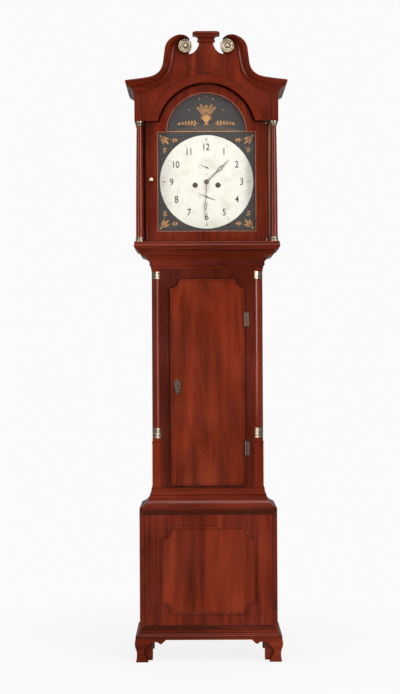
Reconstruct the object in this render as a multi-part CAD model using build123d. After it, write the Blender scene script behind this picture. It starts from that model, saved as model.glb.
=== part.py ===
from build123d import *
import os
from math import atan2, cos, degrees, hypot, pi, radians, sin

# Longcase clock with a swan-neck hood, an arched dial and an eight-day striking movement.
# Millimetres. z is up from the floor, x to the right as seen from the front.
# Depths are measured forward from the plane of the backboard's rear face.

# Heights of the case's stages, from the floor up
FOOT_H = 78
PLINTH_H = 31
BASE_H = 421
WAIST_H = 72
TRUNK_H = 775
THROAT_H = 64
HOOD_BASE_H = 28.5
COLUMN_STAGE_H = 420.5
FRIEZE_H = 93
CORNICE_H = 45
CREST_H = 171.7

# Widths and depths of the stages
TRUNK_W = 393
BASE_OUT = 44.5
HOOD_OUT = 55
HOOD_BASE_OUT = 4.5
BASE_W = TRUNK_W + 2 * BASE_OUT
HOOD_W = TRUNK_W + 2 * HOOD_OUT
HOOD_BASE_W = HOOD_W + 2 * HOOD_BASE_OUT
BASE_D = 237
TRUNK_D = 190
HOOD_D = 248
HOOD_BASE_AHEAD = 6
CORNICE_OUT = 31
HOOD_BASE_D = HOOD_D + HOOD_BASE_AHEAD
CASE_DEPTH = HOOD_D + CORNICE_OUT

# Boards
BACK_T = 12
TRUNK_T = 16
BASE_T = 18
FRAME_T = 18
HOOD_SIDE_T = 18
TYMPANUM_T = 20
ROOF_T = 8

# Clearances: between pieces that move apart, and round a turning shaft
GAP = 0.3
SHUT_GAP = 2
RUN_FIT = 0.06

# Levels that follow from the stages
Z_BASE = FOOT_H + PLINTH_H
Z_WAIST = Z_BASE + BASE_H
Z_TRUNK = Z_WAIST + WAIST_H
Z_THROAT = Z_TRUNK + TRUNK_H
Z_HOOD = Z_THROAT + THROAT_H
Z_SILL = Z_HOOD + GAP + HOOD_BASE_H
Z_FRIEZE = Z_SILL + COLUMN_STAGE_H
Z_CORNICE = Z_FRIEZE + FRIEZE_H
Z_EAVES = Z_CORNICE + CORNICE_H
CREST_TOP = Z_EAVES + CREST_H

# Arch of the dial, the hood door and the tympanum, all struck from one centre
ARCH_DROP = 40
Z_ARCH = Z_FRIEZE - ARCH_DROP
ARCH_OPENING_R = 174.5
DOOR_ARCH_R = 168.5
SIGHT_ARCH_R = 140.5
SIGHT_HALF = 172
SIGHT_SHOULDER = 3.5

# Hood door
CHEEK_ROOM = 20
DOOR_SIDE_GAP = 3.5
DOOR_BEHIND = 18
HOOD_SIDE_IN = TRUNK_W / 2 + CHEEK_ROOM
HOOD_DOOR_HALF = HOOD_SIDE_IN - DOOR_SIDE_GAP
HOOD_DOOR_T = 20
HOOD_DOOR_FACE = HOOD_D - DOOR_BEHIND
BOTTOM_RAIL_H = 36
GLASS_T = 3
GLASS_LAP = 8
PIVOT_IN = 3.5
PIVOT_BACK = 1.5
PIVOT_R = 2.5
KNOB_STEM_R = 2.2
KNOB_IN = 19
KNOB_AT = (KNOB_IN - HOOD_DOOR_HALF, Z_HOOD + 245)

# Hood columns
COLUMN_IN = 16.5
COLUMN_BEHIND = 18
COLUMN_X = HOOD_W / 2 - COLUMN_IN
COLUMN_D = HOOD_D - COLUMN_BEHIND
COLUMN_R_FOOT = 13.2
COLUMN_R_TOP = 9.8
COLUMN_BRASS_H = 15
COLUMN_BRASS_R = 15.5

# Swan-neck pediment
ROSETTE_X = 73
ROSETTE_Z = Z_EAVES + 119.4
ROSETTE_R = 24
CREST_NECK_HALF = 24
CREST_CAP_HALF = 47.5

# Trunk front
STILE_W = 66.2
TRUNK_DOOR_HALF = TRUNK_W / 2 - STILE_W
TRUNK_DOOR_FOOT = 10.5
TRUNK_DOOR_HEAD = 38
TRUNK_DOOR_T = 15
LIP = 8.3
LIP_T = 7
DOOR_CORNER_R = 32
DOOR_BEAD = 5
QUARTER_R = 29
CORNER = 30
POST_T = 16
COLUMN_CAP_DROP = 10
COLUMN_CAP_H = 25.5
SHAFT_FOOT = 212
COLUMN_FOOT_H = 35.5
BLOCK_H = 14

# Base front
PANEL_HALF = 168
PANEL_FOOT = 55
PANEL_H = 306
PANEL_CORNER_R = 37
BEAD_W = 6
BEAD_T = 3.5
FOOT_W = 112
FOOT_T = 22
FOOT_OUT = 18
GLUE_BLOCK = 40

# Movement: places are given from the centre arbor
Z_CENTRE = Z_HOOD + 242.5
SEATBOARD_TOP = Z_HOOD + 164
SEATBOARD_T = 18
DIAL_BEHIND_DOOR = 44
DIAL_BACK = HOOD_DOOR_FACE - DIAL_BEHIND_DOOR
PLATE_BACK = DIAL_BACK - 86
PLATE_T = 3.5
PLATE_GAP = 58
PLATE_W = 152
PLATE_TOP = 98
DIAL_T = 2
DIAL_HALF = 178
DIAL_ARCH_R = 146
PIVOT_HALF = 1.1
STUD_R = 1.5
ARBOR_R = 2.2

BARREL_X = 40.3
BARREL_DROP = 12
BARREL_R = 25
BARREL_L = 28
FLANGE_T = 1.5
TURNS = 16
LINE_R = 0.6
PULLEY_R = 22
WEIGHT_R = 28
WEIGHT_H = 215
WEIGHT_D = PLATE_BACK + 28
WEIGHT_FOOT = 140

# Teeth of the going train, the motion work and the strike train
GREAT_TEETH, CENTRE_PINION = 96, 8
CENTRE_TEETH, THIRD_PINION = 60, 8
THIRD_TEETH, ESCAPE_PINION = 56, 7
ESCAPE_TEETH = 30
ESCAPE_R = 20
CANNON_TEETH, MOTION_TEETH, MINUTE_PINION, HOUR_TEETH = 24, 72, 12, 48
STRIKE_TEETH, PIN_PINION = 78, 8
PIN_TEETH, GATHER_PINION = 64, 8
GATHER_TEETH, WARNING_PINION = 56, 7
WARNING_TEETH, FLY_PINION = 48, 7
DATE_TEETH = 31
WHEEL_RISE = 1.15

# Arbor places, right and up from the centre arbor
GREAT_AT = (BARREL_X, -BARREL_DROP)
STRIKE_AT = (-BARREL_X, -BARREL_DROP)
CENTRE_AT = (0, 0)
THIRD_AT = (8, 27.8)
ESCAPE_AT = (0, 50.5)
PALLET_AT = (0, 78)
MOTION_AT = (18, -12.6)
DATE_AT = (0, -53)
PIN_AT = (-48.3, 21.8)
GATHER_AT = (-28.1, 36.9)
WARNING_AT = (-38, 53.7)
FLY_AT = (-31, 68.6)
HAMMER_AT = (-58, 52)

# Hands as they stand in the photograph, degrees clockwise from twelve
MINUTE_ANGLE = 183
HOUR_ANGLE = 46
SECONDS_ANGLE = 294
DATE_ANGLE = 291
MINUTE_LENGTH = 138
HOUR_LENGTH = 111
SECONDS_LENGTH = 27
DATE_LENGTH = 35
HOUR_HAND_OUT = 3
MINUTE_HAND_OUT = 6.4
HAND_T = 1.2

# Pendulum
PENDULUM_D = 72
PENDULUM_L = 994
BOB_R = 56
BELL_D = 132
BOB_T = 25
ROD_R = 2.5
COCK_D = PLATE_BACK - 20
COCK_T = 4
SPRING_L = 44

# Lock and hinges of the trunk door
LOCK_Z = Z_TRUNK + 362
LOCK_W = 34
LOCK_H = 56
KEY_IN = 24
KEY_X = KEY_IN - TRUNK_DOOR_HALF
BOLT_THROW = 7
BOLT_D = TRUNK_D - TRUNK_DOOR_T / 2 - 3
HINGE_X = TRUNK_DOOR_HALF + 1.7
HINGE_D = TRUNK_D + 3.4
HINGE_R = 3.2
HINGE_L = 48
HINGE_Z = (Z_TRUNK + 595, Z_TRUNK + 140)
PIN_R = 1.5
LEAF_T = 1.6
LEAF_D = HINGE_D - 2.5
FIXED_SPANS = ((0, 0.2), (0.4, 0.6), (0.8, 1))
SWING_SPANS = ((0.2, 0.4), (0.6, 0.8))

# Mask round the dial
MASK_D = 198
MASK_T = 5

# Edges of the right swan neck as x and rise above the cornice's foot, from its corner to the curl
NECK_OUTER = [(HOOD_W / 2 + CORNICE_OUT, CORNICE_H), (201, 55.7), (169, 69.7), (153, 93.7), (146.5, 133.7),
              (141, 165.2), (125, 187.7), (98, 201.3), (73, 199.7), (58, 188.2)]
NECK_INNER = [(HOOD_W / 2, 0), (184, 17.7), (147, 44.7), (121.5, 78.7), (108.7, 131.7),
              (104.5, 161.7), (94.5, 178.2), (84, 187.2), (73, 190.2), (60, 185.7)]

# Section of the cornice: share of its height, and share of its projection
CORNICE_SECTION = [(0, 0), (0, 0.05), (0.12, 0.05), (0.12, 0.12), (0.2, 0.13), (0.3, 0.19), (0.4, 0.31),
                   (0.5, 0.5), (0.57, 0.68), (0.61, 0.8), (0.65, 0.8), (0.65, 0.86), (0.8, 0.86),
                   (0.8, 0.93), (0.86, 0.985), (0.94, 1), (1, 0.95), (1, 0)]

# Depths of the movement's layers, from the inner face of the back plate to the dial
D_IN = PLATE_BACK + PLATE_T
D_OUT = D_IN + PLATE_GAP
D_FACE = D_OUT + PLATE_T
DIAL_FACE = DIAL_BACK + DIAL_T
D_GREAT = (D_IN + 2.5, D_IN + 5.5)
D_BARREL = (D_GREAT[1] + 1, D_GREAT[1] + 1 + BARREL_L)
D_THIRD = (112, 113.8)
D_WARNING = (117, 118.5)
D_ESCAPE = (124, 125.5)
D_GATHER = (134, 135.5)
D_PIN = (145, 147)
D_CENTRE = (150, 152)
D_CANNON = (D_FACE + 3, D_FACE + 4.5)
D_HOUR = (D_CANNON[1] + 3, D_CANNON[1] + 4.5)

BACK_Y = CASE_DEPTH / 2


def yd(depth):
    """World y of a depth measured forward from the rear face."""
    return BACK_Y - depth


def block(x0, x1, d0, d1, z0, z1):
    """Board between two x, two depths and two heights."""
    size = Box(abs(x1 - x0), abs(d1 - d0), abs(z1 - z0))
    return Pos((x0 + x1) / 2, yd((d0 + d1) / 2), (z0 + z1) / 2) * size


def pair(make):
    """The same piece on the left and on the right."""
    return [make(-1), make(1)]


def front_plane(depth):
    """Drawing plane parallel to the case's front, facing forward."""
    return Plane(origin=(0, yd(depth), 0), x_dir=(1, 0, 0), z_dir=(0, -1, 0))


def slab(face, d0, d1):
    """A shape drawn in x and z, given thickness between two depths."""
    return extrude(front_plane(d0) * face, amount=d1 - d0)


def outline(start, *steps):
    """Closed face. A step is a point for a straight run, or (middle, end) for an arc."""
    edges, here = [], start
    for step in steps:
        if isinstance(step[0], tuple):
            edges.append(ThreePointArc(here, step[0], step[1]))
            here = step[1]
        else:
            edges.append(Line(here, step))
            here = step
    if hypot(here[0] - start[0], here[1] - start[1]) > 1e-6:
        edges.append(Line(here, start))
    return make_face(edges)


def rectangle(x0, x1, z0, z1):
    return Pos((x0 + x1) / 2, (z0 + z1) / 2) * Rectangle(x1 - x0, z1 - z0)


def disc(x, z, radius):
    return Pos(x, z) * Circle(radius)


def turned(face):
    """Solid of revolution about z of a face drawn in radius and height."""
    return revolve(Plane.XZ * face, Axis.Z, 360)


def turned_up(face, x, depth, z=0):
    """Turned piece standing on a vertical axis."""
    return Pos(x, yd(depth), z) * turned(face)


def turned_out(face, x, z, depth=0):
    """Turned piece on an axis that points forward; its heights become depths."""
    return Pos(x, yd(depth), z) * Rot(90, 0, 0) * turned(face)


def rod_out(x, z, radius, d0, d1, bore=0):
    """Round bar or tube along the depth of the case."""
    face = Circle(radius) - Circle(bore) if bore else Circle(radius)
    return slab(Pos(x, z) * face, d0, d1)


def tilted(face, angle, x, z):
    """A face drawn upright at the origin, turned clockwise and placed on an arbor."""
    return Pos(x, z) * Rot(0, 0, -angle) * face


def save(name, *pieces):
    """Write one node from its separate solids."""
    solids = []
    for piece in pieces:
        for item in piece if isinstance(piece, list) else [piece]:
            solids.extend(item.solids())
    export_step(Compound(solids), f"parts/{name}.step")


def wrap(face, half, front, back, reach):
    """A moulding's front length and two returns, mitred at the corners.

    The face is drawn as projection from the wall and height.
    """
    run_plane = Plane(origin=(half + reach, yd(front), 0), x_dir=(0, -1, 0), z_dir=(-1, 0, 0))
    run = extrude(run_plane * face, amount=2 * (half + reach))
    returns = []
    for side in (-1, 1):
        mitre = Plane(origin=(side * half, yd(front), 0), z_dir=(side, 1, 0))
        run = split(run, bisect_by=mitre, keep=Keep.BOTTOM)
        wall = Plane(origin=(side * half, yd(back), 0), x_dir=(1, 0, 0), z_dir=(0, -1, 0))
        drawn = face if side > 0 else mirror(face, about=Plane.YZ)
        length = extrude(wall * drawn, amount=front - back + reach)
        returns.append(split(length, bisect_by=mitre, keep=Keep.TOP))
    return [run] + returns


def break_arch(half, foot, shoulder, radius):
    """Upright rectangle with a round head that springs from narrower shoulders."""
    return rectangle(-half, half, foot, shoulder) + disc(0, Z_ARCH, radius)


def indented(half_w, z0, z1, radius, corners):
    """Panel outline with hollow corners at the signs given."""
    face = rectangle(-half_w, half_w, z0, z1)
    for side, high in corners:
        face -= disc(side * half_w, z1 if high > 0 else z0, radius)
    return face


# Case

def backboard():
    edge = TRUNK_W / 2
    main = block(-edge, edge, 0, BACK_T, FOOT_H, Z_EAVES - ROOF_T)
    ear = HOOD_SIDE_IN - 1
    strips = pair(lambda s: block(s * edge, s * (BASE_W / 2 - BASE_T), 0, BACK_T, FOOT_H, Z_WAIST))
    ears = pair(lambda s: block(s * edge, s * ear, 0, BACK_T, Z_HOOD + GAP, Z_EAVES - ROOF_T))
    return [main] + strips + ears


def base_boards():
    half = BASE_W / 2
    sides = pair(lambda s: block(s * (half - BASE_T), s * half, 0, BASE_D - FRAME_T, FOOT_H, Z_WAIST))
    inner = half - BASE_T
    floor = block(-inner, inner, BACK_T, BASE_D - FRAME_T, Z_BASE - BASE_T, Z_BASE)
    depth = (BACK_T, BASE_D - FRAME_T)
    ledges = pair(lambda s: block(s * TRUNK_W / 2, s * inner, *depth, Z_WAIST - BASE_T, Z_WAIST))
    return sides + [floor] + ledges


def base_front():
    half = BASE_W / 2
    board = block(-half, half, BASE_D - FRAME_T, BASE_D, FOOT_H, Z_WAIST)
    z0 = Z_BASE + PANEL_FOOT
    outer = indented(PANEL_HALF, z0, z0 + PANEL_H, PANEL_CORNER_R, [(-1, 1), (1, 1), (-1, -1), (1, -1)])
    inner = offset(outer, -BEAD_W)
    bead = slab(outer - inner, BASE_D, BASE_D + BEAD_T)
    bead = fillet(bead.faces().sort_by(Axis.Y)[0].edges(), BEAD_T * 0.6)
    return [board, bead]


def plinth_section():
    top, foot = Z_BASE, FOOT_H
    return outline((0, foot), (15.5, foot), (15.5, foot + 9), ((14, foot + 14), (9, foot + 17)),
                   ((5, foot + 19), (4, foot + 24)), (2, foot + 24), (1.5, top), (0, top))


def plinth_moulding():
    return wrap(plinth_section(), BASE_W / 2, BASE_D, 0, FOOT_OUT)


def foot_section():
    """Ogee profile of a bracket foot, swelling at the top and kicking out at the ground."""
    wall = FOOT_OUT - FOOT_T
    return outline((wall, 0), (13.5, 0), (13.5, 5), ((10.9, 26), (13, 44)),
                   ((17.7, 62), (FOOT_OUT - 2, FOOT_H)), (wall, FOOT_H))


def fret(length):
    """Elevation of one bracket, drawn from its corner at zero."""
    return outline((0, 0), (47, 0), (47, 6), ((41, 14), (34, 26)), ((31, 38), (38, 50)),
                   ((48, 62), (64, 70)), ((76, 71), (84, 68)), ((92, 64), (98, 68)),
                   (length - 3, FOOT_H), (0, FOOT_H))


def bracket_feet():
    """Front feet of two mitred ogee brackets, rear feet of a side bracket, and glue blocks."""
    half, length = BASE_W / 2, FOOT_W
    corner = half + FOOT_OUT
    mitre = Plane(origin=(half, yd(BASE_D), 0), z_dir=(1, 1, 0))
    across = Plane(origin=(corner, yd(BASE_D), 0), x_dir=(0, -1, 0), z_dir=(-1, 0, 0))
    run = extrude(across * foot_section(), amount=length)
    front = run & slab(Pos(corner, 0) * mirror(fret(length), about=Plane.YZ), BASE_D - 60, BASE_D + 60)
    right = [split(front, bisect_by=mitre, keep=Keep.BOTTOM)]
    for at, ahead in ((BASE_D + FOOT_OUT, 1), (0, -1)):
        low = at - length if ahead > 0 else at
        wall = Plane(origin=(half, yd(low), 0), x_dir=(1, 0, 0), z_dir=(0, -1, 0))
        run = extrude(wall * foot_section(), amount=length)
        view = Plane(origin=(half, yd(at), 0), x_dir=(0, ahead, 0), z_dir=(ahead, 0, 0))
        bracket = run & extrude(view * fret(length), amount=60, both=True)
        right.append(split(bracket, bisect_by=mitre, keep=Keep.TOP) if ahead > 0 else bracket)
    inner = corner - FOOT_T
    for d0 in (BASE_D + FOOT_OUT - FOOT_T - GLUE_BLOCK, 2):
        right.append(block(inner - GLUE_BLOCK, inner, d0, d0 + GLUE_BLOCK, 4, FOOT_H))
    return right + [mirror(piece, about=Plane.YZ) for piece in right]


def waist_section():
    foot, top = Z_WAIST, Z_TRUNK
    out = (BASE_W - TRUNK_W) / 2
    return outline((0, foot), (out, foot), (out, foot + 5), (out - 4, foot + 8),
                   ((out - 24, foot + 21), (10, foot + 44)), (10, foot + 47), (6, foot + 47),
                   ((7.5, foot + 52), (6, foot + 57)), (3.5, foot + 57), (3.5, top), (0, top))


def waist_moulding():
    """Cove under a bead, carried round on the base's top edge."""
    reach = (BASE_W - TRUNK_W) / 2
    section = waist_section()
    pieces = wrap(section, TRUNK_W / 2, TRUNK_D, 0, BASE_D - TRUNK_D + 4)
    step = BASE_D - TRUNK_D - reach
    ledge = block(-BASE_W / 2, BASE_W / 2, BASE_D - step, BASE_D, Z_WAIST, Z_WAIST + 5)
    return pieces + [ledge]


def trunk_sides():
    """Side boards that run up past the throat as cheeks, with the posts behind the columns."""
    half = TRUNK_W / 2
    foot = Z_WAIST - 60
    back, front = BACK_T, TRUNK_D - CORNER
    boards = pair(lambda s: block(s * (half - TRUNK_T), s * half, back, front, foot,
                                  SEATBOARD_TOP - SEATBOARD_T))
    inner = half - CORNER
    post_in = inner - POST_T
    posts = []
    for s in (-1, 1):
        face = Plane.XY * (Pos(s * (half - TRUNK_T + post_in) / 2, yd(front - POST_T / 2))
                           * Rectangle(half - TRUNK_T - post_in, POST_T))
        face += Pos(s * (post_in + inner) / 2, yd((front + TRUNK_D - FRAME_T) / 2)) * Rectangle(
            inner - post_in, TRUNK_D - FRAME_T - front)
        posts.append(Pos(0, 0, foot) * extrude(face, amount=Z_HOOD - foot))
    return boards + posts


def door_opening():
    """Clear opening of the trunk front behind the door's lip."""
    return rectangle(-(TRUNK_DOOR_HALF - LIP), TRUNK_DOOR_HALF - LIP,
                     Z_TRUNK + TRUNK_DOOR_FOOT + LIP, Z_THROAT - TRUNK_DOOR_HEAD - LIP)


def trunk_frame():
    """Two stiles and two rails; the top rail's corners fill the door's hollows."""
    inner = TRUNK_W / 2 - CORNER
    open_half = TRUNK_DOOR_HALF - LIP
    low, high = Z_TRUNK + TRUNK_DOOR_FOOT + LIP, Z_THROAT - TRUNK_DOOR_HEAD - LIP
    depth = (TRUNK_D - FRAME_T, TRUNK_D)
    foot = Z_WAIST - 60
    stile = block(open_half, inner, *depth, foot, Z_HOOD)
    left = block(-inner, -open_half, *depth, foot, Z_HOOD)
    mortise = block(-open_half - BOLT_THROW - 1, -open_half + 1, BOLT_D - 4, BOLT_D + 4,
                    LOCK_Z - 9, LOCK_Z + 9)
    bottom = block(-open_half, open_half, *depth, foot, low)
    top = block(-open_half, open_half, *depth, high, Z_HOOD)
    for s in (-1, 1):
        corner = disc(s * TRUNK_DOOR_HALF, Z_THROAT - TRUNK_DOOR_HEAD, DOOR_CORNER_R + 1)
        top += slab(corner & rectangle(-open_half, open_half, low, high), *depth)
    return [stile, left - mortise, bottom, top]


def quarter(radius, sign, z0, z1):
    """Quarter-round column seated in the rebate at a front corner of the trunk."""
    x = sign * (TRUNK_W / 2 - CORNER)
    y = yd(TRUNK_D - CORNER)
    face = disc(x, y, radius) & Pos(x + sign * radius / 2, y - radius / 2) * Rectangle(radius, radius)
    return Pos(0, 0, z0) * extrude(face, amount=z1 - z0)


def column_levels():
    """Foot of the block, foot and top of the shaft, and top of the capital."""
    top = Z_THROAT - COLUMN_CAP_DROP
    shaft_top = top - COLUMN_CAP_H
    shaft_foot = Z_TRUNK + SHAFT_FOOT
    return shaft_foot - COLUMN_FOOT_H - BLOCK_H, shaft_foot, shaft_top, top


def quarter_columns():
    """Shafts, plain corner posts below them, and the square blocks above and below."""
    block_z, shaft_foot, shaft_top, top = column_levels()
    pieces = []
    for s in (-1, 1):
        pieces.append(quarter(QUARTER_R - 2, s, shaft_foot, shaft_top))
        x0, x1 = s * (TRUNK_W / 2 - CORNER), s * TRUNK_W / 2
        depth = (TRUNK_D - CORNER, TRUNK_D)
        plain = block(x0, x1, *depth, Z_WAIST - 60, block_z - 3)
        cap = block(x0, x1 + s * 1.5, depth[0], depth[1] + 1.5, block_z - 3, block_z)
        cushion = block(x0, x1 - s * 1.5, depth[0], depth[1] - 1.5, block_z, block_z + BLOCK_H)
        pieces += [plain, cap, cushion, block(x0, x1, *depth, top, Z_HOOD)]
    return pieces


def quarter_column_brasses():
    """Turned brass capitals and bases, cut to a quarter round."""
    block_z, shaft_foot, shaft_top, top = column_levels()
    rings = [(3, 0.20), (0.5, 0.12), (2.6, 0.2), (0, 0.3), (1.5, 0.18)]
    pieces = []
    for s in (-1, 1):
        for near, far in ((block_z + BLOCK_H, shaft_foot), (top, shaft_top)):
            body, at = Part(), near
            for more, share in rings:
                end = at + (far - near) * share
                body += quarter(QUARTER_R - 2 + more, s, min(at, end), max(at, end))
                at = end
            pieces.append(body)
    return pieces


def throat_section():
    foot, top = Z_THROAT, Z_HOOD
    return outline((0, foot), (2, foot), (2, foot + 10), (5.5, foot + 10), ((7, foot + 15), (6, foot + 20)),
                   ((16, foot + 37), (34, foot + 46)), (38, foot + 48), (38, foot + 53),
                   (42, foot + 55), (43.5, top), (0, top))


def throat_moulding():
    return wrap(throat_section(), TRUNK_W / 2, TRUNK_D, 0, 60)


def seatboard():
    """Board on the cheeks that carries the movement, slotted for the lines and the pendulum."""
    half = TRUNK_W / 2
    solid = block(-half, half, 30, PLATE_BACK + PLATE_T * 2 + PLATE_GAP + 2,
                  SEATBOARD_TOP - SEATBOARD_T, SEATBOARD_TOP)
    high = (SEATBOARD_TOP - SEATBOARD_T - 1, SEATBOARD_TOP + 1)
    for s in (-1, 1):
        x = s * (BARREL_X + BARREL_R + LINE_R)
        solid -= block(x - 8, x + 8, WEIGHT_D - 17, WEIGHT_D + 17, *high)
        solid -= Pos(s * line_fix_x(), yd(WEIGHT_D), SEATBOARD_TOP) * Cylinder(2.5, 60)
    solid -= block(-22, 22, 28, PLATE_BACK - 4, *high)
    return solid


def line_fix_x():
    """Where a line is tied to the seatboard, beyond its pulley."""
    return BARREL_X + BARREL_R + LINE_R + 2 * PULLEY_R


# Trunk door with its hinges and lock

def door_outline(inset):
    """Trunk door with hollowed top corners that end in a small step."""
    half = TRUNK_DOOR_HALF - inset
    low = Z_TRUNK + TRUNK_DOOR_FOOT + inset
    high = Z_THROAT - TRUNK_DOOR_HEAD - inset
    face = rectangle(-half, half, low, high)
    for s in (-1, 1):
        edge, top = TRUNK_DOOR_HALF, Z_THROAT - TRUNK_DOOR_HEAD
        face -= disc(s * edge, top, DOOR_CORNER_R + inset)
        reach = DOOR_CORNER_R + inset + 3
        notch = rectangle(min(s * edge, s * (edge - reach)), max(s * edge, s * (edge - reach)),
                          top - inset - 3, top)
        face -= notch
    return face


def hinge_room(z):
    """Notch in the door's edge round a hinge's knuckles."""
    half = HINGE_L / 2 + 7
    return block(HINGE_X - HINGE_R - 0.5, HINGE_X + 9, TRUNK_D - 1, TRUNK_D + 30, z - half, z + half)


def trunk_door():
    """Board in the opening, its lip lying on the frame, and the moulding round its edge."""
    low = Z_TRUNK + TRUNK_DOOR_FOOT + LIP + SHUT_GAP
    high = Z_THROAT - TRUNK_DOOR_HEAD - LIP - SHUT_GAP
    half = TRUNK_DOOR_HALF - LIP - SHUT_GAP
    core = rectangle(-half, half, low, high) & door_outline(SHUT_GAP + 1)
    board = slab(core, TRUNK_D - TRUNK_DOOR_T, TRUNK_D + GAP)
    lip = slab(door_outline(0), TRUNK_D + GAP, TRUNK_D + LIP_T)
    board = board + lip
    board -= slab(disc(KEY_X, LOCK_Z, 2.2) + rectangle(KEY_X - 1.2, KEY_X + 1.2, LOCK_Z - 6, LOCK_Z),
                  TRUNK_D - TRUNK_DOOR_T - 1, TRUNK_D + LIP_T + 1)
    lock_x = -(TRUNK_DOOR_HALF - LIP - SHUT_GAP)
    board -= block(lock_x - 1, lock_x + LOCK_W, TRUNK_D - TRUNK_DOOR_T - 1, BOLT_D + 4.5,
                   LOCK_Z - LOCK_H / 2, LOCK_Z + LOCK_H / 2)
    for z in HINGE_Z:
        board -= hinge_room(z)
        board -= block(HINGE_X - 11, HINGE_X, TRUNK_D, LEAF_D + LEAF_T, z - HINGE_L / 2, z + HINGE_L / 2)
    edge = door_outline(0) - door_outline(DOOR_BEAD)
    bead = slab(edge, TRUNK_D + LIP_T, TRUNK_D + LIP_T + 2.5)
    for z in HINGE_Z:
        bead -= hinge_room(z)
    return [board] + list(bead.solids())


def escutcheon():
    """Pointed oval key plate with a raised rim."""
    def plate(grow):
        w, up, down = 11.5 + grow, 25 + grow, 33 + grow
        return outline((0, up), ((w * 0.8, up * 0.62), (w, 0)), ((w * 0.62, -down * 0.62), (0, -down)),
                       ((-w * 0.62, -down * 0.62), (-w, 0)), ((-w * 0.8, up * 0.62), (0, up)))
    hole = Circle(2.4) + rectangle(-1.4, 1.4, -6.5, 0)
    face = TRUNK_D + LIP_T
    body = slab(Pos(KEY_X, LOCK_Z) * (plate(0) - hole), face, face + 1.5)
    rim = slab(Pos(KEY_X, LOCK_Z) * (plate(0) - plate(-2.2)), face + 1.5, face + 2.8)
    return body + rim


def trunk_lock():
    """Box lock let into the back of the door."""
    x0 = -(TRUNK_DOOR_HALF - LIP - SHUT_GAP)
    depth = (BOLT_D - 8, BOLT_D + 4.4)
    half_h = LOCK_H / 2 - 0.2
    case = block(x0, x0 + LOCK_W - 0.2, *depth, LOCK_Z - half_h, LOCK_Z + half_h)
    case -= block(x0 - 1, x0 + 22, BOLT_D - 2.5 - GAP, BOLT_D + 2.5 + GAP, LOCK_Z - 7 - GAP, LOCK_Z + 7 + GAP)
    case -= slab(disc(KEY_X, LOCK_Z, 2), BOLT_D, BOLT_D + 6)
    return case


def lock_bolt():
    x0 = -(TRUNK_DOOR_HALF - LIP - SHUT_GAP)
    return block(x0, x0 + 20, BOLT_D - 2.5, BOLT_D + 2.5, LOCK_Z - 7, LOCK_Z + 7)


def knuckles(z, spans):
    """Hinge barrel rings at the given shares of its length."""
    x, y = HINGE_X, yd(HINGE_D)
    rings = []
    for low, high in spans:
        z0 = z - HINGE_L / 2 + HINGE_L * low + 0.15
        length = HINGE_L * (high - low) - 0.3
        ring = Cylinder(HINGE_R, length) - Cylinder(PIN_R + RUN_FIT, length + 1)
        rings.append(Pos(x, y, z0 + length / 2) * ring)
    return rings


def trunk_hinges_fixed():
    """Case leaves of the butt hinges, with their pins and ball ends."""
    pieces = []
    x, y = HINGE_X, yd(HINGE_D)
    for z in HINGE_Z:
        leaf = block(x, x + 15, TRUNK_D, TRUNK_D + LEAF_T, z - HINGE_L / 2, z + HINGE_L / 2)
        for low, high in SWING_SPANS:
            z0, z1 = z - HINGE_L / 2 + HINGE_L * low, z - HINGE_L / 2 + HINGE_L * high
            leaf -= block(x - 1, x + HINGE_R + 1, TRUNK_D - 1, TRUNK_D + 6, z0 - 0.15, z1 + 0.15)
        leaf -= Pos(x, y, z) * Cylinder(PIN_R + RUN_FIT, HINGE_L + 2)
        for ring in knuckles(z, FIXED_SPANS):
            leaf += ring
        pieces.append(leaf)
        pin = Pos(x, y, z) * Cylinder(PIN_R, HINGE_L)
        for s in (-1, 1):
            pin += Pos(x, y, z + s * (HINGE_L / 2 + 2.4)) * Sphere(HINGE_R - 0.4)
        pieces.append(pin)
    return pieces


def trunk_hinges_swinging():
    """Door leaves, let into the edge of the door."""
    pieces = []
    x, y = HINGE_X, yd(HINGE_D)
    for z in HINGE_Z:
        leaf = block(x - 10.5, x, LEAF_D, LEAF_D + LEAF_T, z - HINGE_L / 2, z + HINGE_L / 2)
        for low, high in FIXED_SPANS:
            z0, z1 = z - HINGE_L / 2 + HINGE_L * low, z - HINGE_L / 2 + HINGE_L * high
            leaf -= block(x - HINGE_R - 1, x + 1, TRUNK_D - 1, TRUNK_D + 8, z0 - 0.15, z1 + 0.15)
        leaf -= Pos(x, y, z) * Cylinder(PIN_R + RUN_FIT, HINGE_L + 2)
        for ring in knuckles(z, SWING_SPANS):
            leaf += ring
        pieces.append(leaf)
    return pieces


# Hood

def smooth(points, steps):
    """Points along a soft curve through the given ones."""
    out = []
    last = len(points) - 1
    for i in range(last):
        p0, p1, p2, p3 = (points[max(0, min(last, k))] for k in (i - 1, i, i + 1, i + 2))
        for j in range(steps):
            t = j / steps
            out.append(tuple(0.5 * (2 * b + (c - a) * t + (2 * a - 5 * b + 4 * c - d) * t * t
                                    + (3 * b - a - 3 * c + d) * t ** 3)
                             for a, b, c, d in zip(p0, p1, p2, p3)))
    return out + [points[-1]]


def neck_points(points):
    return [(x, Z_CORNICE + rise) for x, rise in points]


def swan_neck(side):
    """Cornice moulding that sweeps up from its corner and curls over towards the middle."""
    sections = []
    edges = zip(smooth(neck_points(NECK_OUTER), 3), smooth(neck_points(NECK_INNER), 3))
    for i, (outer, inner) in enumerate(edges):
        ring = []
        for rise, out in CORNICE_SECTION:
            x = inner[0] + (outer[0] - inner[0]) * rise
            z = inner[1] + (outer[1] - inner[1]) * rise
            if i == 0:
                x = HOOD_W / 2 + CORNICE_OUT * out
            ring.append(Vector(side * x, yd(HOOD_D + CORNICE_OUT * out), z))
        sections.append(Wire.make_polygon(ring, close=True))
    return Solid.make_loft(sections, ruled=True)


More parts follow.
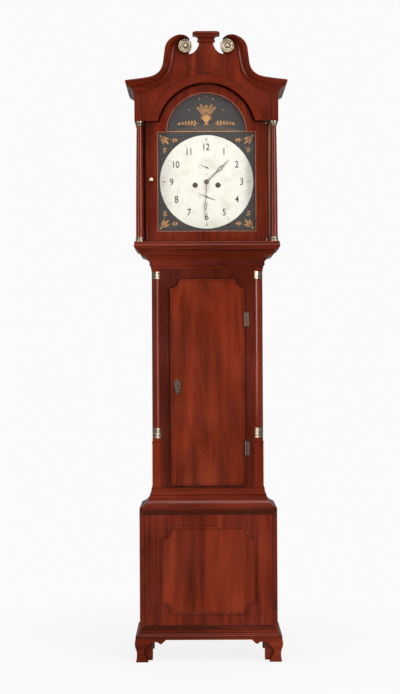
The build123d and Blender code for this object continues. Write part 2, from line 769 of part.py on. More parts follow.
def cornice_return(side):
    """Straight return of the cornice along the hood's side."""
    half = HOOD_W / 2
    points = [(CORNICE_OUT * out, Z_CORNICE + CORNICE_H * rise) for rise, out in CORNICE_SECTION]
    if side < 0:
        points = [(-x, z) for x, z in points]
    face = make_face(Polyline(*points, close=True))
    wall = Plane(origin=(side * half, yd(0), 0), x_dir=(1, 0, 0), z_dir=(0, -1, 0))
    run = extrude(wall * face, amount=CASE_DEPTH)
    mitre = Plane(origin=(side * half, yd(HOOD_D), 0), z_dir=(side, 1, 0))
    return split(run, bisect_by=mitre, keep=Keep.TOP)


def pediment_mouldings():
    """Swan necks, the cornice's returns and the wooden bosses that carry the rosettes."""
    bosses = pair(lambda s: rod_out(s * ROSETTE_X, ROSETTE_Z, ROSETTE_R - 1, HOOD_D, HOOD_D + 18))
    return [swan_neck(s) for s in (-1, 1)] + [cornice_return(s) for s in (-1, 1)] + bosses


def rosettes():
    """Turned brass discs with a raised rim, a ring and a boss."""
    r = ROSETTE_R
    face = outline((0, 0), (r, 0), (r, 3), ((r - 2.5, 5.3), (r - 5, 3)), (r - 7, 3),
                   ((r - 9, 4.8), (r - 11, 3)), (8, 2.5), (7, 5), ((4.5, 8), (0.8, 9.4)), (0, 9.4))
    return pair(lambda s: turned_out(face, s * ROSETTE_X, ROSETTE_Z, HOOD_D + 18))


def tympanum_outline():
    """Board between the columns' heads and the pediment, with the arch cut through it."""
    half = HOOD_W / 2
    middles = zip(neck_points(NECK_OUTER[1:7]), neck_points(NECK_INNER[1:7]))
    necks = [(half, Z_CORNICE)] + [((o[0] + i[0]) / 2, (o[1] + i[1]) / 2) for o, i in middles]
    saddle = Z_EAVES + 94
    right = necks + [(ROSETTE_X, ROSETTE_Z + 14), (ROSETTE_X - 15, ROSETTE_Z)]
    right += [(60, saddle), (44, saddle + 6), (33, saddle + 17), (26, saddle + 31),
              (CREST_NECK_HALF, saddle + 44)]
    left = [(-x, z) for x, z in reversed(right)]
    points = [(-half, Z_FRIEZE), (half, Z_FRIEZE)] + right + left
    face = make_face(Polyline(*points, close=True))
    return face - disc(0, Z_ARCH, ARCH_OPENING_R)


def tympanum():
    return slab(tympanum_outline(), HOOD_D - TYMPANUM_T, HOOD_D)


def crest_cap():
    """Moulded block that crowns the plinth between the swan necks."""
    foot = Z_EAVES + 94 + 44
    width, top = CREST_CAP_HALF, CREST_TOP
    neck = CREST_NECK_HALF + 5
    tiers = [(neck + 2, foot, foot + 5), (neck, foot + 5, top - 20)]
    body = None
    for half, z0, z1 in tiers:
        tier = block(-half, half, HOOD_D - TYMPANUM_T, HOOD_D + half - CREST_NECK_HALF, z0, z1)
        body = tier if body is None else body + tier
    base = Pos(0, yd(HOOD_D - 5), top - 20)
    spread = [(neck, 0), (neck + 3, 4), (neck + 9, 8), (width, 10), (width, 13), (width - 4, 17),
              (width - 10, 20)]
    rings = []
    for half, z in spread:
        depth = half - neck + 15 + 10
        rings.append(base * Pos(0, 0, z) * Rectangle(2 * half, 2 * depth * 0.62))
    cap = loft(rings, ruled=True)
    return body + cap


def hood_sides():
    """Side panels, the entablature blocks over the columns and the roof."""
    inner, outer = HOOD_SIDE_IN, HOOD_SIDE_IN + HOOD_SIDE_T
    half = HOOD_W / 2
    face = COLUMN_D - COLUMN_BRASS_R - 1
    panels = pair(lambda s: block(s * inner, s * outer, 1, face, Z_SILL, Z_EAVES - ROOF_T))
    behind = HOOD_D - TYMPANUM_T
    blocks = pair(lambda s: block(s * outer, s * half, 1, behind, Z_FRIEZE, Z_EAVES - ROOF_T))
    cheeks = pair(lambda s: block(s * inner, s * outer, face, behind, Z_FRIEZE, Z_EAVES - ROOF_T))
    roof = block(-half, half, 1, behind, Z_EAVES - ROOF_T, Z_EAVES)
    return panels + blocks + cheeks + [roof]


def hood_base():
    """Moulded frame that slides on the throat: a front rail and two side runners."""
    foot = Z_HOOD + GAP
    section = outline((-58, foot), (-4, foot), (-4, foot + 4), ((0, foot + 9), (1, foot + 15)),
                      (-0.5, foot + 18), (-0.5, Z_SILL - 4.5), ((-1.82, Z_SILL - 1.32), (-5, Z_SILL)),
                      (-58, Z_SILL))
    half = HOOD_BASE_W / 2 - 1
    front = HOOD_BASE_D - 1
    return wrap(section, half, front, BACK_T + 1, 4)


def column_profile():
    """Tapered column with a slight swell, foot at zero."""
    height = Z_FRIEZE - Z_SILL - 2 * COLUMN_BRASS_H
    low, high = COLUMN_R_FOOT, COLUMN_R_TOP
    return outline((0, 0), (low, 0), (((low + high) / 2 + 0.7, height * 0.5), (high, height)), (0, height))


def hood_columns():
    foot = Z_SILL + COLUMN_BRASS_H
    return pair(lambda s: turned_up(column_profile(), s * COLUMN_X, COLUMN_D, foot))


def hood_column_brasses():
    """Turned brass bases and capitals."""
    h = COLUMN_BRASS_H
    r = COLUMN_BRASS_R

    def cup(neck):
        return outline((0, 0), (r, 0), (r, h * 0.22), (r - 2.2, h * 0.25),
                       ((r - 0.6, h * 0.4), (r - 2.2, h * 0.52)), (neck + 0.4, h * 0.6), ((neck + 2.6, h * 0.75), (neck + 0.4, h * 0.9)), (neck, h), (0, h))
    pieces = []
    for s in (-1, 1):
        pieces.append(turned_up(cup(COLUMN_R_FOOT), s * COLUMN_X, COLUMN_D, Z_SILL))
        top = Pos(s * COLUMN_X, yd(COLUMN_D), Z_FRIEZE) * Rot(180, 0, 0) * turned(cup(COLUMN_R_TOP))
        pieces.append(top)
    return pieces


def dial_mask():
    """Veneered frame round the dial, fixed inside the hood."""
    outer = rectangle(-HOOD_SIDE_IN, HOOD_SIDE_IN, Z_SILL, Z_EAVES - ROOF_T)
    inner = break_arch(SIGHT_HALF - 1, Z_SILL + BOTTOM_RAIL_H + 1, Z_ARCH + SIGHT_SHOULDER, SIGHT_ARCH_R - 1)
    return slab(outer - inner, MASK_D, MASK_D + MASK_T)


def door_face():
    foot = Z_SILL + GAP + 1
    return rectangle(-HOOD_DOOR_HALF, HOOD_DOOR_HALF, foot, Z_FRIEZE - SHUT_GAP) + disc(0, Z_ARCH, DOOR_ARCH_R)


def sight_face():
    return break_arch(SIGHT_HALF, Z_SILL + BOTTOM_RAIL_H, Z_ARCH + SIGHT_SHOULDER, SIGHT_ARCH_R)


def pivot_at():
    """Place of the hood door's pivots, in x and depth."""
    return HOOD_DOOR_HALF - PIVOT_IN, HOOD_DOOR_FACE - PIVOT_BACK


def hood_door():
    """Rebated frame: two stiles, two rails and the arched head, jointed with flat seams."""
    back = HOOD_DOOR_FACE - HOOD_DOOR_T
    frame = slab(door_face() - sight_face(), back, HOOD_DOOR_FACE)
    rebate = break_arch(SIGHT_HALF + GLASS_LAP, Z_SILL + BOTTOM_RAIL_H - GLASS_LAP,
                        Z_ARCH + SIGHT_SHOULDER + GLASS_LAP, SIGHT_ARCH_R + GLASS_LAP)
    frame -= slab(rebate, back - 1, HOOD_DOOR_FACE - 7)
    frame -= slab(disc(*KNOB_AT, KNOB_STEM_R + RUN_FIT), HOOD_DOOR_FACE - 9, HOOD_DOOR_FACE + 1)
    x, d = pivot_at()
    for z in (Z_SILL, Z_FRIEZE - SHUT_GAP):
        frame -= Pos(x, yd(d), z) * Cylinder(PIVOT_R + RUN_FIT, 24)
    low = frame & block(-300, 300, back - 1, HOOD_DOOR_FACE + 1, 0, Z_SILL + BOTTOM_RAIL_H)
    shoulder = Z_ARCH + SIGHT_SHOULDER
    middle = frame & block(-300, 300, back - 1, HOOD_DOOR_FACE + 1, Z_SILL + BOTTOM_RAIL_H, shoulder)
    heads = [frame & block(x0, x1, back - 1, HOOD_DOOR_FACE + 1, shoulder, CREST_TOP)
             for x0, x1 in ((-300, 0), (0, 300))]
    return [low, middle] + heads


def hood_glass():
    lap = GLASS_LAP - 1
    face = break_arch(SIGHT_HALF + lap, Z_SILL + BOTTOM_RAIL_H - lap,
                      Z_ARCH + SIGHT_SHOULDER + lap, SIGHT_ARCH_R + lap)
    front = HOOD_DOOR_FACE - 7
    return slab(face, front - GLASS_T, front)


def hood_knob():
    """Small turned knob on the free stile, with its stem in the wood."""
    r = KNOB_STEM_R
    face = outline((0, -8), (r, -8), (r, 0), (6, 0), (6, 1.5), (3, 3), (3, 6.5), ((7.8, 11), (4, 15.4)),
                   (0, 16.5))
    return turned_out(face, *KNOB_AT, HOOD_DOOR_FACE)


def hood_pivots():
    """Pins on brass plates, one let into the sill and one under the frieze."""
    x, d = pivot_at()
    y = yd(d)
    low = Pos(x, y, Z_SILL + 4.65) * Cylinder(PIVOT_R, 9.3)
    low += block(x - 9, x + 3.3, d - 8, d + 3, Z_SILL, Z_SILL + 0.9)
    top = Pos(x, y, Z_FRIEZE - 4.6) * Cylinder(PIVOT_R, 9.2)
    top += block(x - 9, x + 8, d - 8, d + 12, Z_FRIEZE - 1.2, Z_FRIEZE)
    return [low, top]


# Movement

def gear(teeth, pitch_r, toward, tooth_share, rise, fall, tip_share, root_share):
    """Wheel or pinion outline with one tooth centred on the direction given.

    Shares are parts of the tooth pitch; rise and fall are measured from the pitch circle.
    """
    step = 2 * pi / teeth
    points = []
    for i in range(teeth):
        middle = toward + i * step
        for radius, share in ((pitch_r - fall, -root_share), (pitch_r, -tooth_share),
                              (pitch_r + rise, -tip_share), (pitch_r + rise, tip_share),
                              (pitch_r, tooth_share), (pitch_r - fall, root_share)):
            angle = middle + share * step / 2
            points.append((radius * cos(angle), radius * sin(angle)))
    return make_face(Polyline(*points, close=True))


def bearing(a, b):
    """Direction from one arbor to another, in radians."""
    return atan2(b[1] - a[1], b[0] - a[0])


def radii(a, b, teeth_a, teeth_b):
    """Pitch radii of two wheels that mesh across the distance between their arbors."""
    gap = hypot(b[0] - a[0], b[1] - a[1])
    return gap * teeth_a / (teeth_a + teeth_b), gap * teeth_b / (teeth_a + teeth_b)


def wheel_face(teeth, pitch_r, toward, spokes=4, hub=6, rim=4.5):
    """Brass wheel with crossed-out spokes."""
    module = 2 * pitch_r / teeth
    face = gear(teeth, pitch_r, toward, 0.40, WHEEL_RISE * module, 1.5 * module, 0.10, 0.46)
    inner = pitch_r - 1.5 * module - rim
    if spokes and inner > hub + 3:
        for i in range(spokes):
            angle = degrees(toward) + 360 / spokes * (i + 0.5)
            window = disc(0, 0, inner) - disc(0, 0, hub)
            wedge = Rot(0, 0, angle) * make_face(
                Polyline((4, 0), (2 * inner, 2 * inner - 4), (2 * inner, -2 * inner + 4), close=True))
            face -= window & wedge
    return face


def pinion_face(leaves, pitch_r, toward):
    """Steel pinion with a gap centred on the direction given."""
    module = 2 * pitch_r / leaves
    return gear(leaves, pitch_r, toward + pi / leaves, 0.32, 0.55 * module, 1.65 * module, 0.14, 0.32)


def place(face, at):
    return Pos(at[0], Z_CENTRE + at[1]) * face


def lift(at):
    return at[0], Z_CENTRE + at[1]


def slim(pinion_r, leaves):
    """Arbor radius that stays below the reach of the wheel's teeth."""
    return pinion_r * (1 - 2 * WHEEL_RISE / leaves) - 0.1


def arbor(at, radius, end=D_FACE):
    """Steel arbor between the plates with a pivot through each."""
    body = rod_out(*lift(at), radius, D_IN + 0.4, D_OUT - 0.4)
    return body + rod_out(*lift(at), PIVOT_HALF, PLATE_BACK, end)


def span(face, at, depths):
    return slab(place(face, at), *depths)


def wide(depths, more=1.2):
    return depths[0] - more, depths[1] + more


def going_great_wheel():
    """Great wheel, loose on the winding arbor, with its click and click spring."""
    wheel_r, _ = radii(GREAT_AT, CENTRE_AT, GREAT_TEETH, CENTRE_PINION)
    return great_wheel(GREAT_AT, CENTRE_AT, GREAT_TEETH, wheel_r)


def strike_great_wheel():
    wheel_r, _ = radii(STRIKE_AT, PIN_AT, STRIKE_TEETH, PIN_PINION)
    return great_wheel(STRIKE_AT, PIN_AT, STRIKE_TEETH, wheel_r)


def great_wheel(at, to, teeth, pitch_r):
    face = wheel_face(teeth, pitch_r, bearing(at, to), spokes=0)
    wheel = span(face - Circle(ARBOR_R + 1 + RUN_FIT), at, D_GREAT)
    click = outline((17, -6), (26, -9), (28, -4), (23, -1), (19.5, 4), (17.5, 3))
    return [wheel, span(Rot(0, 0, 200) * click, at, (D_GREAT[0] - 1.6, D_GREAT[0]))]


def grooved(radius, length):
    """Half section of a drum with a groove for each turn of the line."""
    pitch = length / TURNS
    points = [(0, 0)]
    for i in range(TURNS):
        points += [(radius, i * pitch), (radius - 0.5, (i + 0.5) * pitch)]
    return make_face(Polyline(*points, (radius, length), (0, length), close=True))


def barrel(at):
    """Grooved barrel with its ratchet and the winding square."""
    x, z = at[0], Z_CENTRE + at[1]
    core = turned_out(grooved(BARREL_R - LINE_R - 0.1, BARREL_L - 2 * FLANGE_T), x, z, D_BARREL[0] + FLANGE_T)
    flanges = rod_out(x, z, BARREL_R + 3, D_BARREL[0], D_BARREL[0] + FLANGE_T)
    flanges += rod_out(x, z, BARREL_R + 3, D_BARREL[1] - FLANGE_T, D_BARREL[1])
    body = core + flanges
    shaft = rod_out(x, z, ARBOR_R + 1, D_IN + 0.4, D_OUT - 0.4)
    shaft += rod_out(x, z, ARBOR_R, PLATE_BACK, D_FACE + 1)
    shaft += span(Rot(0, 0, 45) * Rectangle(4.6, 4.6), at, (D_FACE + 0.9, DIAL_BACK - 1))
    return body + shaft


def going_barrel():
    return [barrel(GREAT_AT)]


def strike_barrel():
    return [barrel(STRIKE_AT)]


def centre_wheel():
    """Centre arbor with its pinion, wheel, cannon and minute pipe."""
    _, pinion_r = radii(GREAT_AT, CENTRE_AT, GREAT_TEETH, CENTRE_PINION)
    body = arbor(CENTRE_AT, slim(pinion_r, CENTRE_PINION), DIAL_FACE + MINUTE_HAND_OUT + 3)
    body += span(pinion_face(CENTRE_PINION, pinion_r, bearing(CENTRE_AT, GREAT_AT)), CENTRE_AT, wide(D_GREAT))
    wheel_r, _ = radii(CENTRE_AT, THIRD_AT, CENTRE_TEETH, THIRD_PINION)
    body += span(wheel_face(CENTRE_TEETH, wheel_r, bearing(CENTRE_AT, THIRD_AT)), CENTRE_AT, D_CENTRE)
    cannon_r, _ = radii(CENTRE_AT, MOTION_AT, CANNON_TEETH, MOTION_TEETH)
    cannon = pinion_face(CANNON_TEETH, cannon_r, bearing(CENTRE_AT, MOTION_AT))
    body += span(cannon, CENTRE_AT, D_CANNON)
    return body + rod_out(0, Z_CENTRE, 2.4, D_FACE + 0.4, DIAL_FACE + MINUTE_HAND_OUT + 2)


def third_wheel():
    _, pinion_r = radii(CENTRE_AT, THIRD_AT, CENTRE_TEETH, THIRD_PINION)
    body = arbor(THIRD_AT, slim(pinion_r, THIRD_PINION))
    body += span(pinion_face(THIRD_PINION, pinion_r, bearing(THIRD_AT, CENTRE_AT)), THIRD_AT, wide(D_CENTRE))
    wheel_r, _ = radii(THIRD_AT, ESCAPE_AT, THIRD_TEETH, ESCAPE_PINION)
    return body + span(wheel_face(THIRD_TEETH, wheel_r, bearing(THIRD_AT, ESCAPE_AT), hub=5), THIRD_AT, D_THIRD)


def escape_wheel():
    """Escape wheel with leaning pointed teeth, and the long arbor of the seconds hand."""
    _, pinion_r = radii(THIRD_AT, ESCAPE_AT, THIRD_TEETH, ESCAPE_PINION)
    body = arbor(ESCAPE_AT, slim(pinion_r, ESCAPE_PINION), DIAL_FACE + 2.2)
    body += span(pinion_face(ESCAPE_PINION, pinion_r, bearing(ESCAPE_AT, THIRD_AT)), ESCAPE_AT, wide(D_THIRD))
    step = 2 * pi / ESCAPE_TEETH
    points = []
    for i in range(ESCAPE_TEETH):
        a = -i * step
        for radius, share in ((ESCAPE_R, 0), (ESCAPE_R, -0.12), (ESCAPE_R - 4.5, -0.45), (ESCAPE_R - 4.5, -0.8)):
            angle = a + share * step
            points.append((radius * cos(angle), radius * sin(angle)))
    face = make_face(Polyline(*points, close=True))
    for i in range(4):
        window = disc(0, 0, ESCAPE_R - 7) - disc(0, 0, 4.5)
        wedge = Rot(0, 0, 90 * i + 45) * make_face(Polyline((3, 0), (40, 37), (40, -37), close=True))
        face -= window & wedge
    return body + span(face, ESCAPE_AT, D_ESCAPE)


def motion_wheel():
    """Minute wheel and pinion on a stud in the front plate."""
    _, wheel_r = radii(CENTRE_AT, MOTION_AT, CANNON_TEETH, MOTION_TEETH)
    pinion_r, _ = radii(MOTION_AT, CENTRE_AT, MINUTE_PINION, HOUR_TEETH)
    toward = bearing(MOTION_AT, CENTRE_AT)
    face = wheel_face(MOTION_TEETH, wheel_r, toward) - Circle(STUD_R + RUN_FIT)
    body = span(face, MOTION_AT, D_CANNON)
    leaves = pinion_face(MINUTE_PINION, pinion_r, toward) - Circle(STUD_R + RUN_FIT)
    return body + span(leaves, MOTION_AT, (D_CANNON[1] - 0.01, D_HOUR[1] + 1.5))


def hour_wheel():
    """Hour wheel and the pipe that carries the hour hand."""
    _, wheel_r = radii(MOTION_AT, CENTRE_AT, MINUTE_PINION, HOUR_TEETH)
    face = wheel_face(HOUR_TEETH, wheel_r, bearing(CENTRE_AT, MOTION_AT), hub=6.5) - Circle(2.4 + RUN_FIT)
    pipe = rod_out(0, Z_CENTRE, 4, D_HOUR[0] - 1, DIAL_FACE + HOUR_HAND_OUT + HAND_T, bore=2.4 + RUN_FIT)
    return span(face, CENTRE_AT, D_HOUR) + pipe


def loop_hand(length, loop, eye_w, eye_l, stem_w, collet_r):
    """Hand with a plain stem, a diamond loop and a pointed tip, drawn pointing up."""
    half = stem_w / 2
    mid = loop
    body = make_face(Polyline((-half, 0), (half, 0), (half * 0.8, mid - eye_l), (eye_w, mid), (half, mid + eye_l),
                              (0.4, length), (-0.4, length), (-half, mid + eye_l), (-eye_w, mid),
                              (-half * 0.8, mid - eye_l), close=True))
    eye = make_face(Polyline((0, mid - eye_l + 4), (eye_w - 2.2, mid), (0, mid + eye_l - 4),
                             (2.2 - eye_w, mid), close=True))
    return body - eye + Circle(collet_r)


def minute_hand():
    hand = loop_hand(MINUTE_LENGTH, 84, 5.2, 15, 2.6, 6) - Circle(2.4)
    d = DIAL_FACE + MINUTE_HAND_OUT
    piece = slab(tilted(hand, MINUTE_ANGLE, 0, Z_CENTRE), d, d + HAND_T)
    cap = turned_out(outline((2.4, 0), (5, 0), (5, 1.5), ((4.6, 3.2), (2.4, 3.6))), 0, Z_CENTRE, d + HAND_T)
    return piece + cap


def hour_hand():
    hand = loop_hand(HOUR_LENGTH, 66, 7, 17, 3.2, 8.5) - Circle(4)
    d = DIAL_FACE + HOUR_HAND_OUT
    return slab(tilted(hand, HOUR_ANGLE, 0, Z_CENTRE), d, d + HAND_T)


def seconds_hand():
    hand = make_face(Polyline((-0.9, -10), (0.9, -10), (0.5, SECONDS_LENGTH), (-0.5, SECONDS_LENGTH), close=True))
    hand += Circle(3)
    hand -= Circle(PIVOT_HALF)
    d = DIAL_FACE + 0.6
    return slab(tilted(hand, SECONDS_ANGLE, *lift(ESCAPE_AT)), d, d + 1)


def date_hand():
    """Double-ended date hand, its short arbor and the ratchet wheel behind the dial."""
    hand = make_face(Polyline((-1, -DATE_LENGTH * 0.9), (1, -DATE_LENGTH * 0.9), (1.4, 0), (0.5, DATE_LENGTH),
                              (-0.5, DATE_LENGTH), (-1.4, 0), close=True))
    hand += Circle(3.4)
    hand -= Circle(PIVOT_HALF)
    d = DIAL_FACE + 0.6
    return slab(tilted(hand, DATE_ANGLE, *lift(DATE_AT)), d, d + 1)


def date_wheel():
    points = []
    step = 2 * pi / DATE_TEETH
    for i in range(DATE_TEETH):
        for radius, share in ((15, 0), (18, 0.1), (15, 0.9)):
            angle = (i + share) * step
            points.append((radius * cos(angle), radius * sin(angle)))
    body = span(make_face(Polyline(*points, close=True)), DATE_AT, (DIAL_BACK - 6, DIAL_BACK - 4.8))
    return body + rod_out(*lift(DATE_AT), PIVOT_HALF, DIAL_BACK - 14, DIAL_FACE + 2.2)


def pin_wheel():
    """Wheel whose pins lift the hammer."""
    _, pinion_r = radii(STRIKE_AT, PIN_AT, STRIKE_TEETH, PIN_PINION)
    wheel_r, _ = radii(PIN_AT, GATHER_AT, PIN_TEETH, GATHER_PINION)
    body = arbor(PIN_AT, slim(pinion_r, PIN_PINION))
    body += span(pinion_face(PIN_PINION, pinion_r, bearing(PIN_AT, STRIKE_AT)), PIN_AT, wide(D_GREAT))
    body += span(wheel_face(PIN_TEETH, wheel_r, bearing(PIN_AT, GATHER_AT)), PIN_AT, D_PIN)
    x, z = lift(PIN_AT)
    for i in range(8):
        angle = radians(45 * i + 20)
        body += rod_out(x + 17.5 * cos(angle), z + 17.5 * sin(angle), 0.9, D_PIN[1] - 0.5, D_PIN[1] + 6)
    return body


def train_wheel(at, before, after, teeth, leaves, before_teeth, after_leaves, depth, before_depth, end=D_FACE):
    """Arbor with the pinion that the wheel before drives and the wheel that drives the next."""
    _, pinion_r = radii(before, at, before_teeth, leaves)
    wheel_r, _ = radii(at, after, teeth, after_leaves)
    body = arbor(at, slim(pinion_r, leaves), end)
    body += span(pinion_face(leaves, pinion_r, bearing(at, before)), at, wide(before_depth))
    return body + span(wheel_face(teeth, wheel_r, bearing(at, after), hub=4, rim=3), at, depth)


def gathering_wheel():
    """Wheel with the gathering pallet on its arbor in front of the plate."""
    body = train_wheel(GATHER_AT, PIN_AT, WARNING_AT, GATHER_TEETH, GATHER_PINION, PIN_TEETH, WARNING_PINION,
                       D_GATHER, D_PIN, end=D_FACE + 4)
    pallet = make_face(Polyline((-2.6, -2), (2.6, -2), (1.2, 9), (-0.6, 9), close=True)) + Circle(3)
    return body + span(Rot(0, 0, 60) * pallet, GATHER_AT, (D_FACE + 1, D_FACE + 3.5))


def warning_wheel():
    return train_wheel(WARNING_AT, GATHER_AT, FLY_AT, WARNING_TEETH, WARNING_PINION, GATHER_TEETH, FLY_PINION,
                       D_WARNING, D_GATHER)


def fly():
    """Air brake: a sprung brass vane on the last arbor of the strike."""
    _, pinion_r = radii(WARNING_AT, FLY_AT, WARNING_TEETH, FLY_PINION)
    body = arbor(FLY_AT, slim(pinion_r, FLY_PINION))
    body += span(pinion_face(FLY_PINION, pinion_r, bearing(FLY_AT, WARNING_AT)), FLY_AT, wide(D_WARNING))
    return body + span(Rot(0, 0, 30) * Rectangle(20, 1), FLY_AT, (126, 156))


def movement_frame():
    """Front and back plates drilled for the pivots, five pillars and the motion-work stud."""
    x, foot, top = PLATE_W / 2, SEATBOARD_TOP, Z_CENTRE + PLATE_TOP
    pivots = {CENTRE_AT: PIVOT_HALF, THIRD_AT: PIVOT_HALF, ESCAPE_AT: PIVOT_HALF, PALLET_AT: PIVOT_HALF,
              GREAT_AT: ARBOR_R, STRIKE_AT: ARBOR_R, PIN_AT: PIVOT_HALF, GATHER_AT: PIVOT_HALF,
              WARNING_AT: PIVOT_HALF, FLY_AT: PIVOT_HALF, HAMMER_AT: PIVOT_HALF}
    plates = []
    for d0 in (PLATE_BACK, D_OUT):
        face = rectangle(-x, x, foot, top)
        for at, radius in pivots.items():
            face -= disc(*lift(at), radius + RUN_FIT)
        plates.append(slab(face, d0, d0 + PLATE_T))
    pillar = outline((0, 0), (6, 0), (6, 5), ((4, 9), (4, 14)), (4, 24), (6, 26), (6, 32), (4, 34),
                     (4, 44), ((4, 49), (6, PLATE_GAP - 5)), (6, PLATE_GAP), (0, PLATE_GAP))
    low = BARREL_X + 11
    places = [(-low, foot + 9), (low, foot + 9), (-x + 7, top - 42), (x - 7, top - 9), (0, foot + 9)]
    pillars = [turned_out(pillar, px, pz, D_IN) for px, pz in places]
    stud = rod_out(*lift(MOTION_AT), STUD_R, D_FACE, D_HOUR[1] + 3)
    bush = rod_out(*lift(DATE_AT), 3, D_FACE, DIAL_BACK - 8, bore=PIVOT_HALF + RUN_FIT)
    return plates + pillars + [stud, bush]


def back_cock():
    """Bracket behind the back plate that carries the pallet arbor's end and the pendulum."""
    z = Z_CENTRE + PALLET_AT[1]
    arm = block(-12, 12, COCK_D, COCK_D + COCK_T, z - 7, z + 20)
    arm += block(-22, 22, COCK_D, PLATE_BACK, z + 10, z + 20)
    arm -= rod_out(0, z, PIVOT_HALF + RUN_FIT, COCK_D - 1, COCK_D + COCK_T + 1)
    chops = block(-6, 6, PENDULUM_D - 6, COCK_D, z + 6, z + 18)
    chops -= block(-0.9, 0.9, PENDULUM_D - 7, PENDULUM_D + 5, z + 5, z + 14)
    return [arm, chops]


def bell():
    """Cup bell on a stand bent up from the back plate."""
    z = Z_CENTRE + 108
    cup = outline((47.5, 0), (49, 0), ((40.5, 27), (6, 42)), (0, 42), (0, 39.5), (6, 39.5),
                  ((38.5, 25.5), (47.5, 0)))
    dome = turned_up(cup, 0, BELL_D, z)
    dome -= Pos(0, yd(BELL_D), z + 40) * Cylinder(2, 12)
    top = z + 42
    stand = block(28, 38, PLATE_BACK - 2.5, PLATE_BACK, Z_CENTRE + 70, top + 10)
    stand += block(-6, 38, PLATE_BACK - 2.5, PLATE_BACK, top + 0.2, top + 10)
    stand += block(-6, 6, PLATE_BACK - 2.5, BELL_D + 6, top + 0.2, top + 2.7)
    nut = Pos(0, yd(BELL_D), top + 5.2) * Cylinder(5, 5)
    nut += Pos(0, yd(BELL_D), top - 5) * Cylinder(2, 16)
    stand -= Pos(0, yd(BELL_D), top) * Cylinder(2, 12)
    return [dome, stand, nut]


def hammer():
    """Hammer on its arbor, its tail by the pins and its head just clear of the bell."""
    x, z = lift(HAMMER_AT)
    body = arbor(HAMMER_AT, 1.9)
    tail = make_face(Polyline((x - 2, z + 2), (x + 2, z + 2), (x + 8, z - 11), (x + 6, z - 12), close=True))
    body += slab(tail, D_PIN[1] + 1.5, D_PIN[1] + 4)
    stem = make_face(Polyline((x - 1.8, z), (x + 1.8, z), (x + 1.5, z + 64), (x - 1.5, z + 64), close=True))
    body += slab(stem, BELL_D - 1.5, BELL_D + 1.5)
    head = Pos(x, yd(BELL_D), z + 64) * Rot(0, 90, 0) * Cylinder(6, 13)
    return body + head


def anchor():
    """Recoil anchor, its arbor and the crutch behind the back plate."""
    x, z = lift(PALLET_AT)
    drop = PALLET_AT[1] - ESCAPE_AT[1]
    reach, nib = 17.5, 8
    shape = outline((-3, 4), ((0, 5), (3, 4)), ((13, -2), (reach + 2.5, -drop + 15)), (reach + 4, -drop + nib),
                    (reach + 1, -drop + nib), (reach - 1, -drop + 14), ((9, -7), (0, -5)),
                    ((-9, -7), (1 - reach, -drop + 14)), (-reach - 1, -drop + nib),
                    (-reach - 4, -drop + nib), (-reach - 2.5, -drop + 15), ((-13, -2), (-3, 4)))
    shape -= disc(0, -drop, ESCAPE_R + 2)
    body = slab(Pos(x, z) * shape, D_ESCAPE[0] - 2, D_ESCAPE[1] + 2)
    body += rod_out(x, z, 2, D_IN + 0.4, D_OUT - 0.4)
    body += rod_out(x, z, PIVOT_HALF, COCK_D, D_FACE)
    crutch = slab(rectangle(-2, 2, z - 105, z + 3), 88, 90)
    crutch += slab(rectangle(-9, 9, z - 105, z - 98), 88, 90)
    for s in (-1, 1):
        crutch += block(s * (ROD_R + 0.4), s * (ROD_R + 3), PENDULUM_D - 4, 90, z - 105, z - 98)
    return body + crutch


def pendulum_rod():
    """Suspension spring, its block and the iron rod with its rating thread."""
    top = Z_CENTRE + PALLET_AT[1]
    bob_z = top - PENDULUM_L
    spring = block(-0.12, 0.12, PENDULUM_D - 2.5, PENDULUM_D + 2.5, top - SPRING_L + 10, top + 13.8)
    spring += block(-3, 3, PENDULUM_D - 1.5, PENDULUM_D + 1.5, top - SPRING_L, top - SPRING_L + 10)
    foot = bob_z - BOB_R - 26
    rod = Pos(0, yd(PENDULUM_D), (top - SPRING_L + foot) / 2) * Cylinder(ROD_R, top - SPRING_L - foot)
    return spring + rod


def pendulum_bob():
    """Lens bob and the rating nut under it."""
    z = Z_CENTRE + PALLET_AT[1] - PENDULUM_L
    half = BOB_T / 2
    lens = outline((0, -half), ((BOB_R * 0.62, -half * 0.72), (BOB_R, -1.2)), (BOB_R, 1.2),
                   ((BOB_R * 0.62, half * 0.72), (0, half)))
    bob = turned_out(lens, 0, z, PENDULUM_D) - Pos(0, yd(PENDULUM_D), z) * Cylinder(ROD_R + 0.05, 3 * BOB_R)
    nut = Pos(0, yd(PENDULUM_D), z - BOB_R - 5) * (Cylinder(7, 7) - Cylinder(ROD_R + 0.05, 9))
    return [bob, nut]


def pulley_z():
    """Height of a pulley's axis when the weight hangs at its lowest."""
    return WEIGHT_FOOT + WEIGHT_H + 22 + PULLEY_R


def weight_x(side):
    return side * (BARREL_X + BARREL_R + LINE_R + PULLEY_R)


def weight(side):
    """Cast cylinder with a hook, hung from the pulley's stirrup."""
    x = weight_x(side)
    r, h = WEIGHT_R, WEIGHT_H
    profile = outline((0, 0), (r - 2, 0), (r, 2), (r, h - 6), ((r - 2, h - 2), (r - 8, h)), (4, h),
                      (3, h + 7), (0, h + 7))
    body = turned_up(profile, x, WEIGHT_D, WEIGHT_FOOT)
    z = pulley_z()
    top = WEIGHT_FOOT + h + 7
    stirrup = block(x - 5, x + 5, WEIGHT_D - 7, WEIGHT_D + 7, top, top + 3)
    for s in (-1, 1):
        stirrup += block(x - 4, x + 4, WEIGHT_D + s * 5, WEIGHT_D + s * 7, top, z + 5)
    stirrup += rod_out(x, z, 2, WEIGHT_D - 8, WEIGHT_D + 8)
    loop = revolve(Plane.XZ * disc(PULLEY_R, 0, LINE_R), Axis.Z, 180)
    return [body, stirrup, Pos(x, yd(WEIGHT_D), z) * Rot(-90, 0, 0) * loop]


